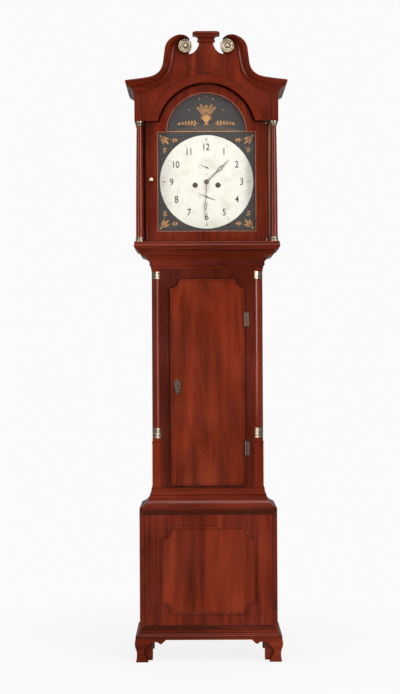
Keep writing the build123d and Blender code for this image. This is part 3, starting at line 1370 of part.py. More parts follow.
def pulley(side):
    x, z = weight_x(side), pulley_z()
    r = PULLEY_R - LINE_R - 0.1
    face = outline((2 + RUN_FIT, -3.5), (r + 2, -3.5), (r + 2, -2.4), (r, -LINE_R), (r, LINE_R), (r + 2, 2.4),
                   (r + 2, 3.5), (2 + RUN_FIT, 3.5))
    return turned_out(face, x, z, WEIGHT_D)


def fall(side):
    """Straight falls of a gut line, from the barrel and from the seatboard down to the pulley."""
    low = pulley_z()
    barrel_z = Z_CENTRE - BARREL_DROP
    inner = side * (BARREL_X + BARREL_R + LINE_R)
    outer = side * line_fix_x()
    pieces = []
    for x, top in ((inner, barrel_z), (outer, SEATBOARD_TOP + 4)):
        length = top - low
        pieces.append(Pos(x, yd(WEIGHT_D), low + 0.1 + length / 2) * Cylinder(LINE_R, length - 0.2))
    return pieces


def dial():
    """Painted iron plate with its arch, holes for the arbors, and its four feet."""
    face = rectangle(-DIAL_HALF, DIAL_HALF, Z_CENTRE - DIAL_HALF, Z_CENTRE + DIAL_HALF) + disc(0, Z_ARCH, DIAL_ARCH_R)
    holes = [(CENTRE_AT, 5), (ESCAPE_AT, 2.5), (DATE_AT, 2.5), (GREAT_AT, 8), (STRIKE_AT, 8)]
    for at, radius in holes:
        face -= disc(*lift(at), radius)
    plate = slab(face, DIAL_BACK, DIAL_FACE)
    for x in (-1, 1):
        for z in (-1, 1):
            plate += rod_out(x * 62, Z_CENTRE + z * 68, 3, D_FACE, DIAL_BACK + 0.1)
    return plate


os.makedirs("parts", exist_ok=True)

save("backboard", backboard())
save("base_boards", base_boards())
save("base_front", base_front())
save("plinth_moulding", plinth_moulding())
save("bracket_feet", bracket_feet())
save("waist_moulding", waist_moulding())
save("trunk_sides", trunk_sides())
save("trunk_frame", trunk_frame())
save("quarter_columns", quarter_columns())
save("quarter_column_brasses", quarter_column_brasses())
save("throat_moulding", throat_moulding())
save("seatboard", seatboard())
save("trunk_hinges_fixed", trunk_hinges_fixed())

save("trunk_door", trunk_door())
save("escutcheon", escutcheon())
save("trunk_lock", trunk_lock())
save("trunk_hinges_swinging", trunk_hinges_swinging())
save("lock_bolt", lock_bolt())

save("tympanum", tympanum())
save("pediment_mouldings", pediment_mouldings(), crest_cap())
save("rosettes", rosettes())
save("hood_sides", hood_sides())
save("hood_base", hood_base())
save("hood_columns", hood_columns())
save("hood_column_brasses", hood_column_brasses())
save("dial_mask", dial_mask())
save("hood_pivots", hood_pivots())
save("hood_door", hood_door())
save("hood_glass", hood_glass())
save("hood_knob", hood_knob())

save("dial", dial())
save("movement_frame", movement_frame(), back_cock())
save("bell", bell())
save("going_barrel", going_barrel())
save("going_great_wheel", going_great_wheel())
save("centre_wheel", centre_wheel())
save("third_wheel", third_wheel())
save("escape_wheel", escape_wheel())
save("motion_wheel", motion_wheel())
save("hour_wheel", hour_wheel())
save("minute_hand", minute_hand())
save("hour_hand", hour_hand())
save("seconds_hand", seconds_hand())
save("date_hand", date_hand(), date_wheel())
save("strike_barrel", strike_barrel())
save("strike_great_wheel", strike_great_wheel())
save("pin_wheel", pin_wheel())
save("gathering_wheel", gathering_wheel())
save("warning_wheel", warning_wheel())
save("fly", fly())
save("hammer", hammer())
save("anchor", anchor())
save("pendulum_rod", pendulum_rod())
save("pendulum_bob", pendulum_bob())
for side, name in ((1, "going"), (-1, "strike")):
    save(f"{name}_weight", weight(side))
    save(f"{name}_pulley", pulley(side))
    save(f"{name}_line", fall(side))
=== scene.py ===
import math

import bpy
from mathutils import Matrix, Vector


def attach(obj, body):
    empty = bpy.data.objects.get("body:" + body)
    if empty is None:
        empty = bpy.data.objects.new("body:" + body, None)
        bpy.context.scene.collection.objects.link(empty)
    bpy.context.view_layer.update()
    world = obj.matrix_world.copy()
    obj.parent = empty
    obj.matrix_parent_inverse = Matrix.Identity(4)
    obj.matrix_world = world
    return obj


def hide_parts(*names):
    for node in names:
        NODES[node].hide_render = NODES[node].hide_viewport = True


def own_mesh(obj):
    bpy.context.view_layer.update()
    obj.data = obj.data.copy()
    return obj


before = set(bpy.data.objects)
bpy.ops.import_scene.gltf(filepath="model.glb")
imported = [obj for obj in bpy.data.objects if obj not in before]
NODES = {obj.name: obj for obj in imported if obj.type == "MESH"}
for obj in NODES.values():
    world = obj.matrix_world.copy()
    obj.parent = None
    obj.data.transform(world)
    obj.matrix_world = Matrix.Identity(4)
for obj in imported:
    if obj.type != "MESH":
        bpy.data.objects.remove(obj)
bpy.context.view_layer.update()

bl_info = {
    "name": "Longcase clock",
    "version": (1, 0, 0),
    "blender": (4, 5, 0),
    "location": "View3D > Sidebar > Clock",
    "description": "Finishes for a mahogany longcase clock with a painted dial",
    "category": "Object",
}

# Places on the clock in millimetres: heights from the floor, depths from the rear face
REAR_Y = 139.5
CENTRE_Z = 1683.5
ARCH_Z = 1850.3
DIAL_FACE = 188.0
BASE_FACE = 237.0
DOOR_FACE = 230.0
HOOD_FACE = 248.0
ROSETTE_X, ROSETTE_Z, ROSETTE_FACE = 73.0, 2147.7, 266.0
SIGHT_HALF, SIGHT_FOOT, SIGHT_SHOULDER, SIGHT_R = 172.0, 1505.8, 1853.8, 140.5
SECONDS_Z, DATE_Z = 1734.0, 1630.5
WINDING_X, WINDING_Z = 40.3, 1671.5
CENTRE_HOLE_R, SMALL_HOLE_R, WINDING_HOLE_R = 5.0, 2.5, 8.0
NUMERAL_R, MINUTE_R, HOUR_DOT_R, FIGURE_R = 123.5, 143.0, 151.0, 151.5
SCALE_IN, SCALE_OUT, SCALE_FIGURE_R = 28.6, 31.6, 23.5
FRIEZE_FOOT, ARCH_BAND_R, ARCH_BAND_OUT = 1890.8, 174.7, 201.0

# How far veneers and paint stand off their face, so that each lies over the one below it
VENEER, STRINGING = 0.3, 0.4
DISC_COAT, MOUND_COAT, INK_COAT, COLLET_COAT, GILT_COAT = 0.25, 0.3, 0.4, 0.45, 0.5

# Weight lines: each fall's name, its distance from the middle, and its top
FALLS = (("barrel", 65.9, WINDING_Z), ("seatboard", 109.9, 1609.0))
FALL_FOOT, LINE_R, LINE_DEPTH, WEIGHT_RISE = 399.0, 0.6, 128, 1100

# Level of the room's white, which shows as the photograph's own white
ROOM_WHITE = 0.956


def linear(text):
    """An sRGB hex colour as the linear values that the sockets take."""
    values = []
    for i in (1, 3, 5):
        c = int(text[i:i + 2], 16) / 255
        values.append(c / 12.92 if c <= 0.04045 else ((c + 0.055) / 1.055) ** 2.4)
    return (*values, 1.0)


def add(tree, kind, inputs=None, **settings):
    """One node with its settings. An input takes another node's socket, or a value."""
    node = tree.nodes.new(kind)
    for key, value in settings.items():
        setattr(node, key, value)
    for key, value in (inputs or {}).items():
        if isinstance(value, bpy.types.NodeSocket):
            tree.links.new(value, node.inputs[key])
        else:
            node.inputs[key].default_value = value
    return node


def blank(name):
    """A material with its shader, ready for its nodes."""
    material = bpy.data.materials.new(name)
    material.use_nodes = True
    return material, material.node_tree, material.node_tree.nodes["Principled BSDF"]


def stops(ramp, *pairs):
    """Sets a ramp's colours, given as place and linear colour."""
    elements = ramp.color_ramp.elements
    while len(elements) > 1:
        elements.remove(elements[-1])
    elements[0].position, elements[0].color = pairs[0]
    for place, colour in pairs[1:]:
        elements.new(place).color = colour


# Finishes

def polished_mahogany(name, dark, mid, light, along="z", ribbon=0.0, turned_corner=False, shine=0.27):
    """Mahogany under french polish.

    The eye sees red-brown wood with long soft streaks, a clear gloss, and painted shade with old dirt in the
    quirks.
    Real pores are 0.2 mm wide; the streaks are drawn 4 mm wide so that they show.
    """
    material, tree, shader = blank(name)
    place = add(tree, "ShaderNodeTexCoord").outputs["Object"]
    stretch = {"x": (0.045, 1, 1), "y": (1, 0.045, 1), "z": (1, 1, 0.045)}
    grain = add(tree, "ShaderNodeMapping", {"Vector": place, "Scale": stretch[along]}).outputs[0]
    if turned_corner:
        side = add(tree, "ShaderNodeMapping", {"Vector": place, "Scale": stretch["y"]}).outputs[0]
        normal = add(tree, "ShaderNodeNewGeometry").outputs["True Normal"]
        across = add(tree, "ShaderNodeSeparateXYZ", {0: normal}).outputs["X"]
        size = add(tree, "ShaderNodeMath", {0: across}, operation="ABSOLUTE").outputs[0]
        faces = add(tree, "ShaderNodeMath", {0: size, 1: 0.2}, operation="GREATER_THAN").outputs[0]
        grain = add(tree, "ShaderNodeMix", {0: faces, 4: grain, 5: side}, data_type="VECTOR").outputs[1]
    figure = add(tree, "ShaderNodeTexNoise",
                 {"Vector": grain, "Scale": 26.0, "Detail": 4.0, "Roughness": 0.55, "Distortion": 0.7})
    streak = add(tree, "ShaderNodeTexNoise",
                 {"Vector": grain, "Scale": 230.0, "Detail": 3.0, "Roughness": 0.6})
    cloud = add(tree, "ShaderNodeTexNoise", {"Vector": place, "Scale": 5.5, "Detail": 2.0})
    blended = add(tree, "ShaderNodeMix", {0: 0.36, 2: figure.outputs[0], 3: streak.outputs[0]}).outputs[0]
    blended = add(tree, "ShaderNodeMix", {0: 0.25, 2: blended, 3: cloud.outputs[0]}).outputs[0]
    if ribbon:
        flame = add(tree, "ShaderNodeMapping", {"Vector": place, "Scale": (1.0, 1.0, 0.16)}).outputs[0]
        wave = add(tree, "ShaderNodeTexNoise",
                   {"Vector": flame, "Scale": 13.0, "Detail": 2.5, "Distortion": 1.6}).outputs[0]
        blended = add(tree, "ShaderNodeMix", {0: ribbon, 2: blended, 3: wave}).outputs[0]
    tone = add(tree, "ShaderNodeValToRGB", {0: blended})
    stops(tone, (0.36, dark), (0.50, mid), (0.64, light))
    # Painted shade: ambient occlusion darkens the colour in corners and quirks, standing for shade there as
    # well as old polish dirt.
    corners = add(tree, "ShaderNodeAmbientOcclusion", {"Distance": 0.012}, samples=6)
    shade_and_dirt = add(tree, "ShaderNodeMapRange",
               {0: corners.outputs["AO"], 1: 0.25, 2: 0.85, 3: 0.35, 4: 1.0}).outputs[0]
    shaded_dirty_tone = add(tree, "ShaderNodeMix", {0: 1.0, 6: tone.outputs[0], 7: shade_and_dirt}, data_type="RGBA",
               blend_type="MULTIPLY")
    tree.links.new(shaded_dirty_tone.outputs[2], shader.inputs["Base Color"])
    rub = add(tree, "ShaderNodeMapRange",
              {0: cloud.outputs[0], 1: 0.3, 2: 0.7, 3: shine - 0.06, 4: shine + 0.1})
    tree.links.new(rub.outputs[0], shader.inputs["Roughness"])
    pores = add(tree, "ShaderNodeBump", {"Strength": 0.12, "Distance": 0.0004, "Height": streak.outputs[0]})
    tree.links.new(pores.outputs[0], shader.inputs["Normal"])
    shader.inputs["Specular IOR Level"].default_value = 0.24
    shader.inputs["Coat Weight"].default_value = 0.08
    shader.inputs["Coat Roughness"].default_value = 0.12
    return material


def stained_pine(name, dark, light):
    """Sawn pine washed with thin brown stain.

    The eye sees a dull brown board with upright grain and faint saw marks, and no gloss.
    """
    material, tree, shader = blank(name)
    place = add(tree, "ShaderNodeTexCoord").outputs["Object"]
    grain = add(tree, "ShaderNodeMapping", {"Vector": place, "Scale": (1, 1, 0.05)}).outputs[0]
    rings = add(tree, "ShaderNodeTexNoise",
                {"Vector": grain, "Scale": 55.0, "Detail": 5.0, "Distortion": 0.8})
    saw = add(tree, "ShaderNodeTexWave", {"Vector": place, "Scale": 60.0, "Distortion": 2.0},
              bands_direction="Z")
    tone = add(tree, "ShaderNodeValToRGB", {0: rings.outputs[0]})
    stops(tone, (0.35, dark), (0.65, light))
    tree.links.new(tone.outputs[0], shader.inputs["Base Color"])
    rough = add(tree, "ShaderNodeBump", {"Strength": 0.25, "Distance": 0.0006, "Height": saw.outputs[0]})
    tree.links.new(rough.outputs[0], shader.inputs["Normal"])
    shader.inputs["Roughness"].default_value = 0.75
    return material


def worn_metal(name, bright, dull, polish, metal=1.0, patch=60.0):
    """Turned or sheet metal that has been handled.

    The eye sees a soft shine that breaks into duller patches, darker in the hollows, where painted shade and
    tarnish are laid together.
    """
    material, tree, shader = blank(name)
    place = add(tree, "ShaderNodeTexCoord").outputs["Object"]
    spots = add(tree, "ShaderNodeTexNoise",
                {"Vector": place, "Scale": patch, "Detail": 4.0, "Roughness": 0.6})
    scratch = add(tree, "ShaderNodeTexNoise", {"Vector": place, "Scale": 900.0, "Detail": 2.0})
    # Painted shade: ambient occlusion dulls the colour in hollows and corners, together with tarnish there.
    corners = add(tree, "ShaderNodeAmbientOcclusion", {"Distance": 0.006}, samples=6).outputs["AO"]
    share = add(tree, "ShaderNodeMath", {0: spots.outputs[0], 1: corners}, operation="MULTIPLY").outputs[0]
    tone = add(tree, "ShaderNodeValToRGB", {0: share})
    stops(tone, (0.12, dull), (0.50, bright))
    tree.links.new(tone.outputs[0], shader.inputs["Base Color"])
    rub = add(tree, "ShaderNodeMapRange",
              {0: spots.outputs[0], 1: 0.35, 2: 0.65, 3: polish, 4: polish + 0.15})
    tree.links.new(rub.outputs[0], shader.inputs["Roughness"])
    fine = add(tree, "ShaderNodeBump", {"Strength": 0.1, "Distance": 0.0001, "Height": scratch.outputs[0]})
    tree.links.new(fine.outputs[0], shader.inputs["Normal"])
    shader.inputs["Metallic"].default_value = metal
    return material


def enamel_paint(name, colour, shade, gloss=0.3):
    """Oil paint on iron, varnished.

    The eye sees a flat even colour with a faint warm mottle and a network of age cracks.
    Real cracks are 0.1 mm wide; they are drawn 1 mm wide and very pale so that they show.
    """
    material, tree, shader = blank(name)
    place = add(tree, "ShaderNodeTexCoord").outputs["Object"]
    mottle = add(tree, "ShaderNodeTexNoise", {"Vector": place, "Scale": 22.0, "Detail": 3.0}).outputs[0]
    cracks = add(tree, "ShaderNodeTexVoronoi", {"Vector": place, "Scale": 70.0}, feature="DISTANCE_TO_EDGE")
    edge = add(tree, "ShaderNodeMapRange",
               {0: cracks.outputs[0], 1: 0.0, 2: 0.04, 3: 0.75, 4: 1.0}).outputs[0]
    share = add(tree, "ShaderNodeMath", {0: mottle, 1: edge}, operation="MULTIPLY").outputs[0]
    tone = add(tree, "ShaderNodeValToRGB", {0: share})
    stops(tone, (0.28, shade), (0.5, colour))
    tree.links.new(tone.outputs[0], shader.inputs["Base Color"])
    lift = add(tree, "ShaderNodeBump", {"Strength": 0.1, "Distance": 0.0001, "Height": edge})
    tree.links.new(lift.outputs[0], shader.inputs["Normal"])
    shader.inputs["Roughness"].default_value = gloss
    return material


def sheet_glass(name):
    """Old clear sheet glass. The eye sees the dial behind it under a slight grey haze, a painted reflection
    from the glass's faint grey colour.
    """
    material, tree, shader = blank(name)
    place = add(tree, "ShaderNodeTexCoord").outputs["Object"]
    ripple = add(tree, "ShaderNodeTexNoise", {"Vector": place, "Scale": 7.0, "Detail": 1.0}).outputs[0]
    wavy = add(tree, "ShaderNodeBump", {"Strength": 0.15, "Distance": 0.002, "Height": ripple})
    tree.links.new(wavy.outputs[0], shader.inputs["Normal"])
    # The grey base colour, faint at this alpha, is a painted reflection on the glass.
    shader.inputs["Base Color"].default_value = linear("#9A9694")
    shader.inputs["Roughness"].default_value = 0.04
    shader.inputs["Alpha"].default_value = 0.08
    return material


def twisted_gut(name, light, dark):
    """Twisted gut line. The eye sees a straw-brown cord with a tight slanting twist, 1.2 mm thick."""
    material, tree, shader = blank(name)
    place = add(tree, "ShaderNodeTexCoord").outputs["Object"]
    twist = add(tree, "ShaderNodeTexWave", {"Vector": place, "Scale": 180.0, "Distortion": 1.0},
                bands_direction="DIAGONAL").outputs[1]
    tone = add(tree, "ShaderNodeValToRGB", {0: twist})
    stops(tone, (0.2, dark), (0.8, light))
    tree.links.new(tone.outputs[0], shader.inputs["Base Color"])
    shader.inputs["Roughness"].default_value = 0.5
    return material


MADE = {}


def finish_of(name):
    """The material of that name, made the first time it is asked for."""
    if name not in MADE:
        wood = bpy.context.scene.clock_wood
        dial = bpy.context.scene.clock_dial
        dark, mid, light = (*wood.dark, 1), (*wood.mid, 1), (*wood.light, 1)
        makers = {
            "mahogany_upright": lambda: polished_mahogany(name, dark, mid, light),
            "mahogany_run": lambda: polished_mahogany(name, dark, mid, light, along="x", turned_corner=True,
                                                      shine=0.22),
            "mahogany_dark": lambda: polished_mahogany(name, linear("#360F05"), linear("#4E1608"), mid),
            "mahogany_column": lambda: polished_mahogany(name, linear("#4A160B"), linear("#661F0F"), light,
                                                         shine=0.15),
            "mahogany_figured": lambda: polished_mahogany(name, dark, (*wood.panel, 1), light, ribbon=0.55),
            "mahogany_crossband": lambda: polished_mahogany(name, dark, dark, mid, along="x"),
            "mahogany_crossband_side": lambda: polished_mahogany(name, dark, mid, mid, along="x"),
            # Paler than the case mahogany: a painted highlight on the bead's moulded edge.
            "mahogany_bead_highlight": lambda: polished_mahogany(name, linear("#6A3426"), linear("#8A5442"),
                                                       linear("#A06A56")),
            # Very pale mahogany as a painted highlight: the lit front edge of the hood's right side.
            "mahogany_painted_highlight": lambda: polished_mahogany(name, linear("#C98A64"), linear("#E2AC86"),
                                                            linear("#F2C8A4")),
            "ebonised_string": lambda: enamel_paint(name, linear("#2A0F08"), linear("#1A0804")),
            "pine_stained": lambda: stained_pine(name, linear("#5F3D22"), linear("#96693F")),
            "brass_lacquered_dull": lambda: worn_metal(name, linear("#D6C4AC"), linear("#7A6A54"), 0.30),
            "brass_pale": lambda: worn_metal(name, linear("#FFE6CC"), linear("#B49A80"), 0.26),
            "brass_polished": lambda: worn_metal(name, linear("#E2BD6E"), linear("#A07A3C"), 0.18),
            "brass_tarnished": lambda: worn_metal(name, linear("#9A8478"), linear("#3C302A"), 0.38,
                                                  patch=150.0),
            "brass_bronzed": lambda: worn_metal(name, linear("#9A7C62"), linear("#4A3426"), 0.35),
            "bell_metal": lambda: worn_metal(name, linear("#D8BE8A"), linear("#8A7048"), 0.2),
            "steel_polished": lambda: worn_metal(name, linear("#B8B6B2"), linear("#6C6A68"), 0.22),
            "iron_blacked": lambda: worn_metal(name, linear("#3A3634"), linear("#1C1A19"), 0.5, metal=0.6),
            "enamel_white": lambda: enamel_paint(name, (*dial.white, 1), linear("#E2DFCE")),
            "enamel_black": lambda: enamel_paint(name, (*dial.black, 1), linear("#0E0A0A"), 0.35),
            "enamel_earth": lambda: enamel_paint(name, linear("#4A3222"), linear("#2A1C14"), 0.4),
            "ink_black": lambda: enamel_paint(name, linear("#1B1A1C"), linear("#121113"), 0.4),
            "ink_faded": lambda: enamel_paint(name, linear("#8E8A80"), linear("#A29E92"), 0.4),
            "gilding": lambda: worn_metal(name, (*dial.gilt, 1), linear("#A86E2C"), 0.45, metal=0.2,
                                          patch=220.0),
            "glass_sheet": lambda: sheet_glass(name),
            "gut_line": lambda: twisted_gut(name, linear("#A88A5C"), linear("#6E5432")),
        }
        MADE[name] = makers[name]()
    return MADE[name]


def dress(material, *names):
    """Puts a finish on CAD nodes."""
    for name in names:
        mesh = NODES[name].data
        mesh.materials.clear()
        mesh.materials.append(finish_of(material))


# Shapes drawn on the clock's faces, in millimetres

def point(x, depth, z):
    return (x / 1000, (REAR_Y - depth) / 1000, z / 1000)


def piece(name, points, faces, body, material, smooth=False):
    """A new object from points and faces that rides on a body of the clock."""
    mesh = bpy.data.meshes.new(name)
    mesh.from_pydata(points, [], faces)
    mesh.validate()
    for polygon in mesh.polygons:
        polygon.use_smooth = smooth
    mesh.materials.append(finish_of(material))
    made = bpy.data.objects.new(name, mesh)
    bpy.context.scene.collection.objects.link(made)
    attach(made, body)
    return made


def skin(name, loops, depth, body, material):
    """Thin paint or veneer on a flat face: each loop of x and z becomes one face towards the front."""
    points, faces = [], []
    for loop in loops:
        area = sum(a[0] * b[1] - b[0] * a[1] for a, b in zip(loop, loop[1:] + loop[:1]))
        loop = loop if area > 0 else loop[::-1]
        faces.append(list(range(len(points), len(points) + len(loop))))
        points += [point(x, depth, z) for x, z in loop]
    return piece(name, points, faces, body, material)


def ring(cx, cz, r0, r1, start=0.0, end=360.0, *, steps):
    """Quads of a flat ring or part of one, angles counted from the right."""
    loops = []
    for i in range(steps):
        a, b = (math.radians(start + (end - start) * (i + k) / steps) for k in (0, 1))
        loops.append([(cx + r * math.cos(t), cz + r * math.sin(t))
                      for r, t in ((r0, a), (r1, a), (r1, b), (r0, b))])
    return loops


def round_face(cx, cz, radius, steps):
    turn = 2 * math.pi / steps
    return [(cx + radius * math.cos(i * turn), cz + radius * math.sin(i * turn)) for i in range(steps)]


def oblong(x0, x1, z0, z1):
    return [(x0, z0), (x1, z0), (x1, z1), (x0, z1)]


def frame_of(x0, x1, z0, z1, width):
    """Four mitred strips inside a rectangle."""
    outer = oblong(x0, x1, z0, z1)
    inner = oblong(x0 + width, x1 - width, z0 + width, z1 - width)
    return [[outer[i], outer[(i + 1) % 4], inner[(i + 1) % 4], inner[i]] for i in range(4)]


def ticks(cx, cz, r0, r1, count, width):
    """Short radial strokes between two radii, the first at the top."""
    loops = []
    for i in range(count):
        a = 2 * math.pi * i / count
        ux, uz, w = math.sin(a), math.cos(a), width / 2
        loops.append([(cx + ux * r - uz * w * s, cz + uz * r + ux * w * s)
                      for r, s in ((r0, 1), (r0, -1), (r1, -1), (r1, 1))])
    return loops


def leaf(x, z, angle, length, width):
    """A pointed leaf that grows from a point in the direction given, in degrees from the right."""
    a = math.radians(angle)
    ux, uz = math.cos(a), math.sin(a)
    shape = [(0, 0), (0.3, 0.42), (0.6, 0.5), (0.85, 0.28), (1, 0), (0.8, -0.36), (0.5, -0.5), (0.22, -0.36)]
    return [(x + ux * s * length - uz * t * width, z + uz * s * length + ux * t * width) for s, t in shape]


def spray(x, z, angle, bend, count, step, size):
    """A curved stem with a pair of leaves at each step and a bud at its end."""
    loops = []
    for i in range(count):
        shrink = 1 - 0.5 * i / count
        a = math.radians(angle)
        nx, nz = x + step * math.cos(a), z + step * math.sin(a)
        w = 0.55  # half of the stem's width
        loops.append([(x - w * math.sin(a), z + w * math.cos(a)), (x + w * math.sin(a), z - w * math.cos(a)),
                      (nx + w * math.sin(a), nz - w * math.cos(a)),
                      (nx - w * math.sin(a), nz + w * math.cos(a))])
        x, z = nx, nz
        loops.append(leaf(x, z, angle + 52, size * shrink, size * 0.42 * shrink))
        loops.append(leaf(x, z, angle - 52, size * shrink, size * 0.42 * shrink))
        angle += bend
    loops.append(leaf(x, z, angle, size * 0.9, size * 0.4))
    return loops


def mirrored(loops):
    return [[(-x, z) for x, z in loop] for loop in loops]


def swept(name, path, section, depth, body, material, closed=False):
    """A moulding or line along a flat path; the section is drawn as offset and height."""
    count, wide = len(path), len(section)
    points, faces = [], []
    for i, here in enumerate(path):
        before = path[i - 1] if i or closed else here
        after = path[(i + 1) % count] if i < count - 1 or closed else here
        a = Vector((here[0] - before[0], here[1] - before[1]))
        b = Vector((after[0] - here[0], after[1] - here[1]))
        a = a.normalized() if a.length else b.normalized()
        b = b.normalized() if b.length else a
        mean = (a + b).normalized()
        grow = 1 / max(0.5, mean.dot(a))
        for off, up in section:
            points.append(point(here[0] - mean.y * off * grow, depth + up, here[1] + mean.x * off * grow))
    for i in range(count if closed else count - 1):
        j = (i + 1) % count
        for k in range(wide - 1):
            faces.append([i * wide + k, j * wide + k, j * wide + k + 1, i * wide + k + 1][::-1])
    return piece(name, points, faces, body, material, smooth=wide > 2)


HALF_ROUND = [(-1.0, 0.0), (-0.8, 0.6), (-0.3, 0.95), (0.3, 0.95), (0.8, 0.6), (1.0, 0.0)]


def scaled(section, size):
    return [(a * size, b * size) for a, b in section]


def arc(cx, cz, radius, start, end, steps):
    """Points along part of a circle, angles counted from the right."""
    angles = [math.radians(start + (end - start) * i / steps) for i in range(steps + 1)]
    return [(cx + radius * math.cos(a), cz + radius * math.sin(a)) for a in angles]


def number(text, x, z, size):
    """Loops of one upright number, narrower than the plain letter, centred on x and z."""
    stretch = 0.82
    curve = bpy.data.curves.new("number", "FONT")
    curve.body, curve.size = text, size / 1000
    curve.align_x, curve.align_y = "CENTER", "CENTER"
    curve.offset = size / 1000 * 0.012
    holder = bpy.data.objects.new("number", curve)
    bpy.context.scene.collection.objects.link(holder)
    bpy.context.view_layer.update()
    mesh = bpy.data.meshes.new_from_object(holder.evaluated_get(bpy.context.evaluated_depsgraph_get()))
    xs = [v.co.x for v in mesh.vertices]
    zs = [v.co.y for v in mesh.vertices]
    mx, mz = (min(xs) + max(xs)) / 2, (min(zs) + max(zs)) / 2
    points = [(x + (v.co.x - mx) * 1000 * stretch, z + (v.co.y - mz) * 1000) for v in mesh.vertices]
    loops = [[points[i] for i in polygon.vertices] for polygon in mesh.polygons]
    bpy.data.objects.remove(holder)
    bpy.data.meshes.remove(mesh)
    bpy.data.curves.remove(curve)
    return loops


def on_circle(hours, radius):
    """The place of an hour at a distance from the dial's centre."""
    a = math.radians(hours * 30)
    return radius * math.sin(a), CENTRE_Z + radius * math.cos(a)


# Settings

class ClockWood(bpy.types.PropertyGroup):
    dark: bpy.props.FloatVectorProperty(name="Dark streak", description="Darkest streaks of the mahogany",
                                        default=linear("#3E1205")[:3], subtype="COLOR", min=0, max=1)
    mid: bpy.props.FloatVectorProperty(name="Wood", description="Main colour of the mahogany",
                                       default=linear("#601C09")[:3], subtype="COLOR", min=0, max=1)
    light: bpy.props.FloatVectorProperty(name="Pale streak", description="Palest streaks of the mahogany",
                                         default=linear("#7C2A0F")[:3], subtype="COLOR", min=0, max=1)
    panel: bpy.props.FloatVectorProperty(name="Panel", description="Main colour of the figured panels",
                                         default=linear("#682009")[:3], subtype="COLOR", min=0, max=1)


class ClockDial(bpy.types.PropertyGroup):
    white: bpy.props.FloatVectorProperty(name="Disc", description="Colour of the dial's disc",
                                         default=linear("#F2F1E4")[:3], subtype="COLOR", min=0, max=1)
    black: bpy.props.FloatVectorProperty(name="Ground", description="Colour of the dial's corners and arch",
                                         default=linear("#1E1718")[:3], subtype="COLOR", min=0, max=1)
    gilt: bpy.props.FloatVectorProperty(name="Gilding", description="Colour of the gilt lines and leaves",
                                        default=linear("#DE9A44")[:3], subtype="COLOR", min=0, max=1)
    disc_radius: bpy.props.FloatProperty(name="Disc radius", description="Radius of the white disc",
                                         default=0.165, unit="LENGTH", min=0.1, max=0.17)
    numeral_height: bpy.props.FloatProperty(name="Numeral height", description="Height of the hour numerals",
                                            default=0.0245, unit="LENGTH", min=0.01, max=0.04)


class ClockStage(bpy.types.PropertyGroup):
    key_power: bpy.props.FloatProperty(name="Key lamp", description="Power of the soft lamp at the right",
                                       default=95.0, unit="POWER", min=0, max=1000)
    fill_power: bpy.props.FloatProperty(name="Fill lamp", description="Power of the soft lamp at the left",
                                        default=55.0, unit="POWER", min=0, max=1000)
    room_light: bpy.props.FloatProperty(name="Room light", description="Even light from all round",
                                        default=0.55, min=0, max=2)
    lens: bpy.props.FloatProperty(name="Lens", description="Focal length on a 36 mm long side",
                                  default=74.3, min=20, max=200)


# Operators

class CLOCK_OT_case_wood(bpy.types.Operator):
    """Polished mahogany on the trunk and base, pine on the back"""
    bl_idname = "clock.case_wood"
    bl_label = "Case woodwork"

    def execute(self, context):
        dress("mahogany_upright", "base_boards", "base_front")
        dress("mahogany_dark", "trunk_sides", "trunk_frame")
        dress("mahogany_column", "quarter_columns")
        dress("mahogany_run", "plinth_moulding", "bracket_feet", "waist_moulding", "throat_moulding")
        dress("mahogany_figured", "trunk_door")
        dress("pine_stained", "backboard", "seatboard")
        return {"FINISHED"}


class CLOCK_OT_hood_wood(bpy.types.Operator):
    """Polished mahogany on the hood and its door"""
    bl_idname = "clock.hood_wood"
    bl_label = "Hood woodwork"

    def execute(self, context):
        dress("mahogany_upright", "tympanum", "hood_sides", "hood_door")
        dress("mahogany_column", "hood_columns")
        dress("mahogany_run", "pediment_mouldings", "hood_base", "dial_mask")
        joint = [(0, ARCH_Z + SIGHT_R + 1.5), (0, ARCH_Z + 168)]
        swept("head_joint", joint, [(-0.5, 0), (0.5, 0)], DOOR_FACE + 0.15, "hood_door", "ebonised_string")
        return {"FINISHED"}


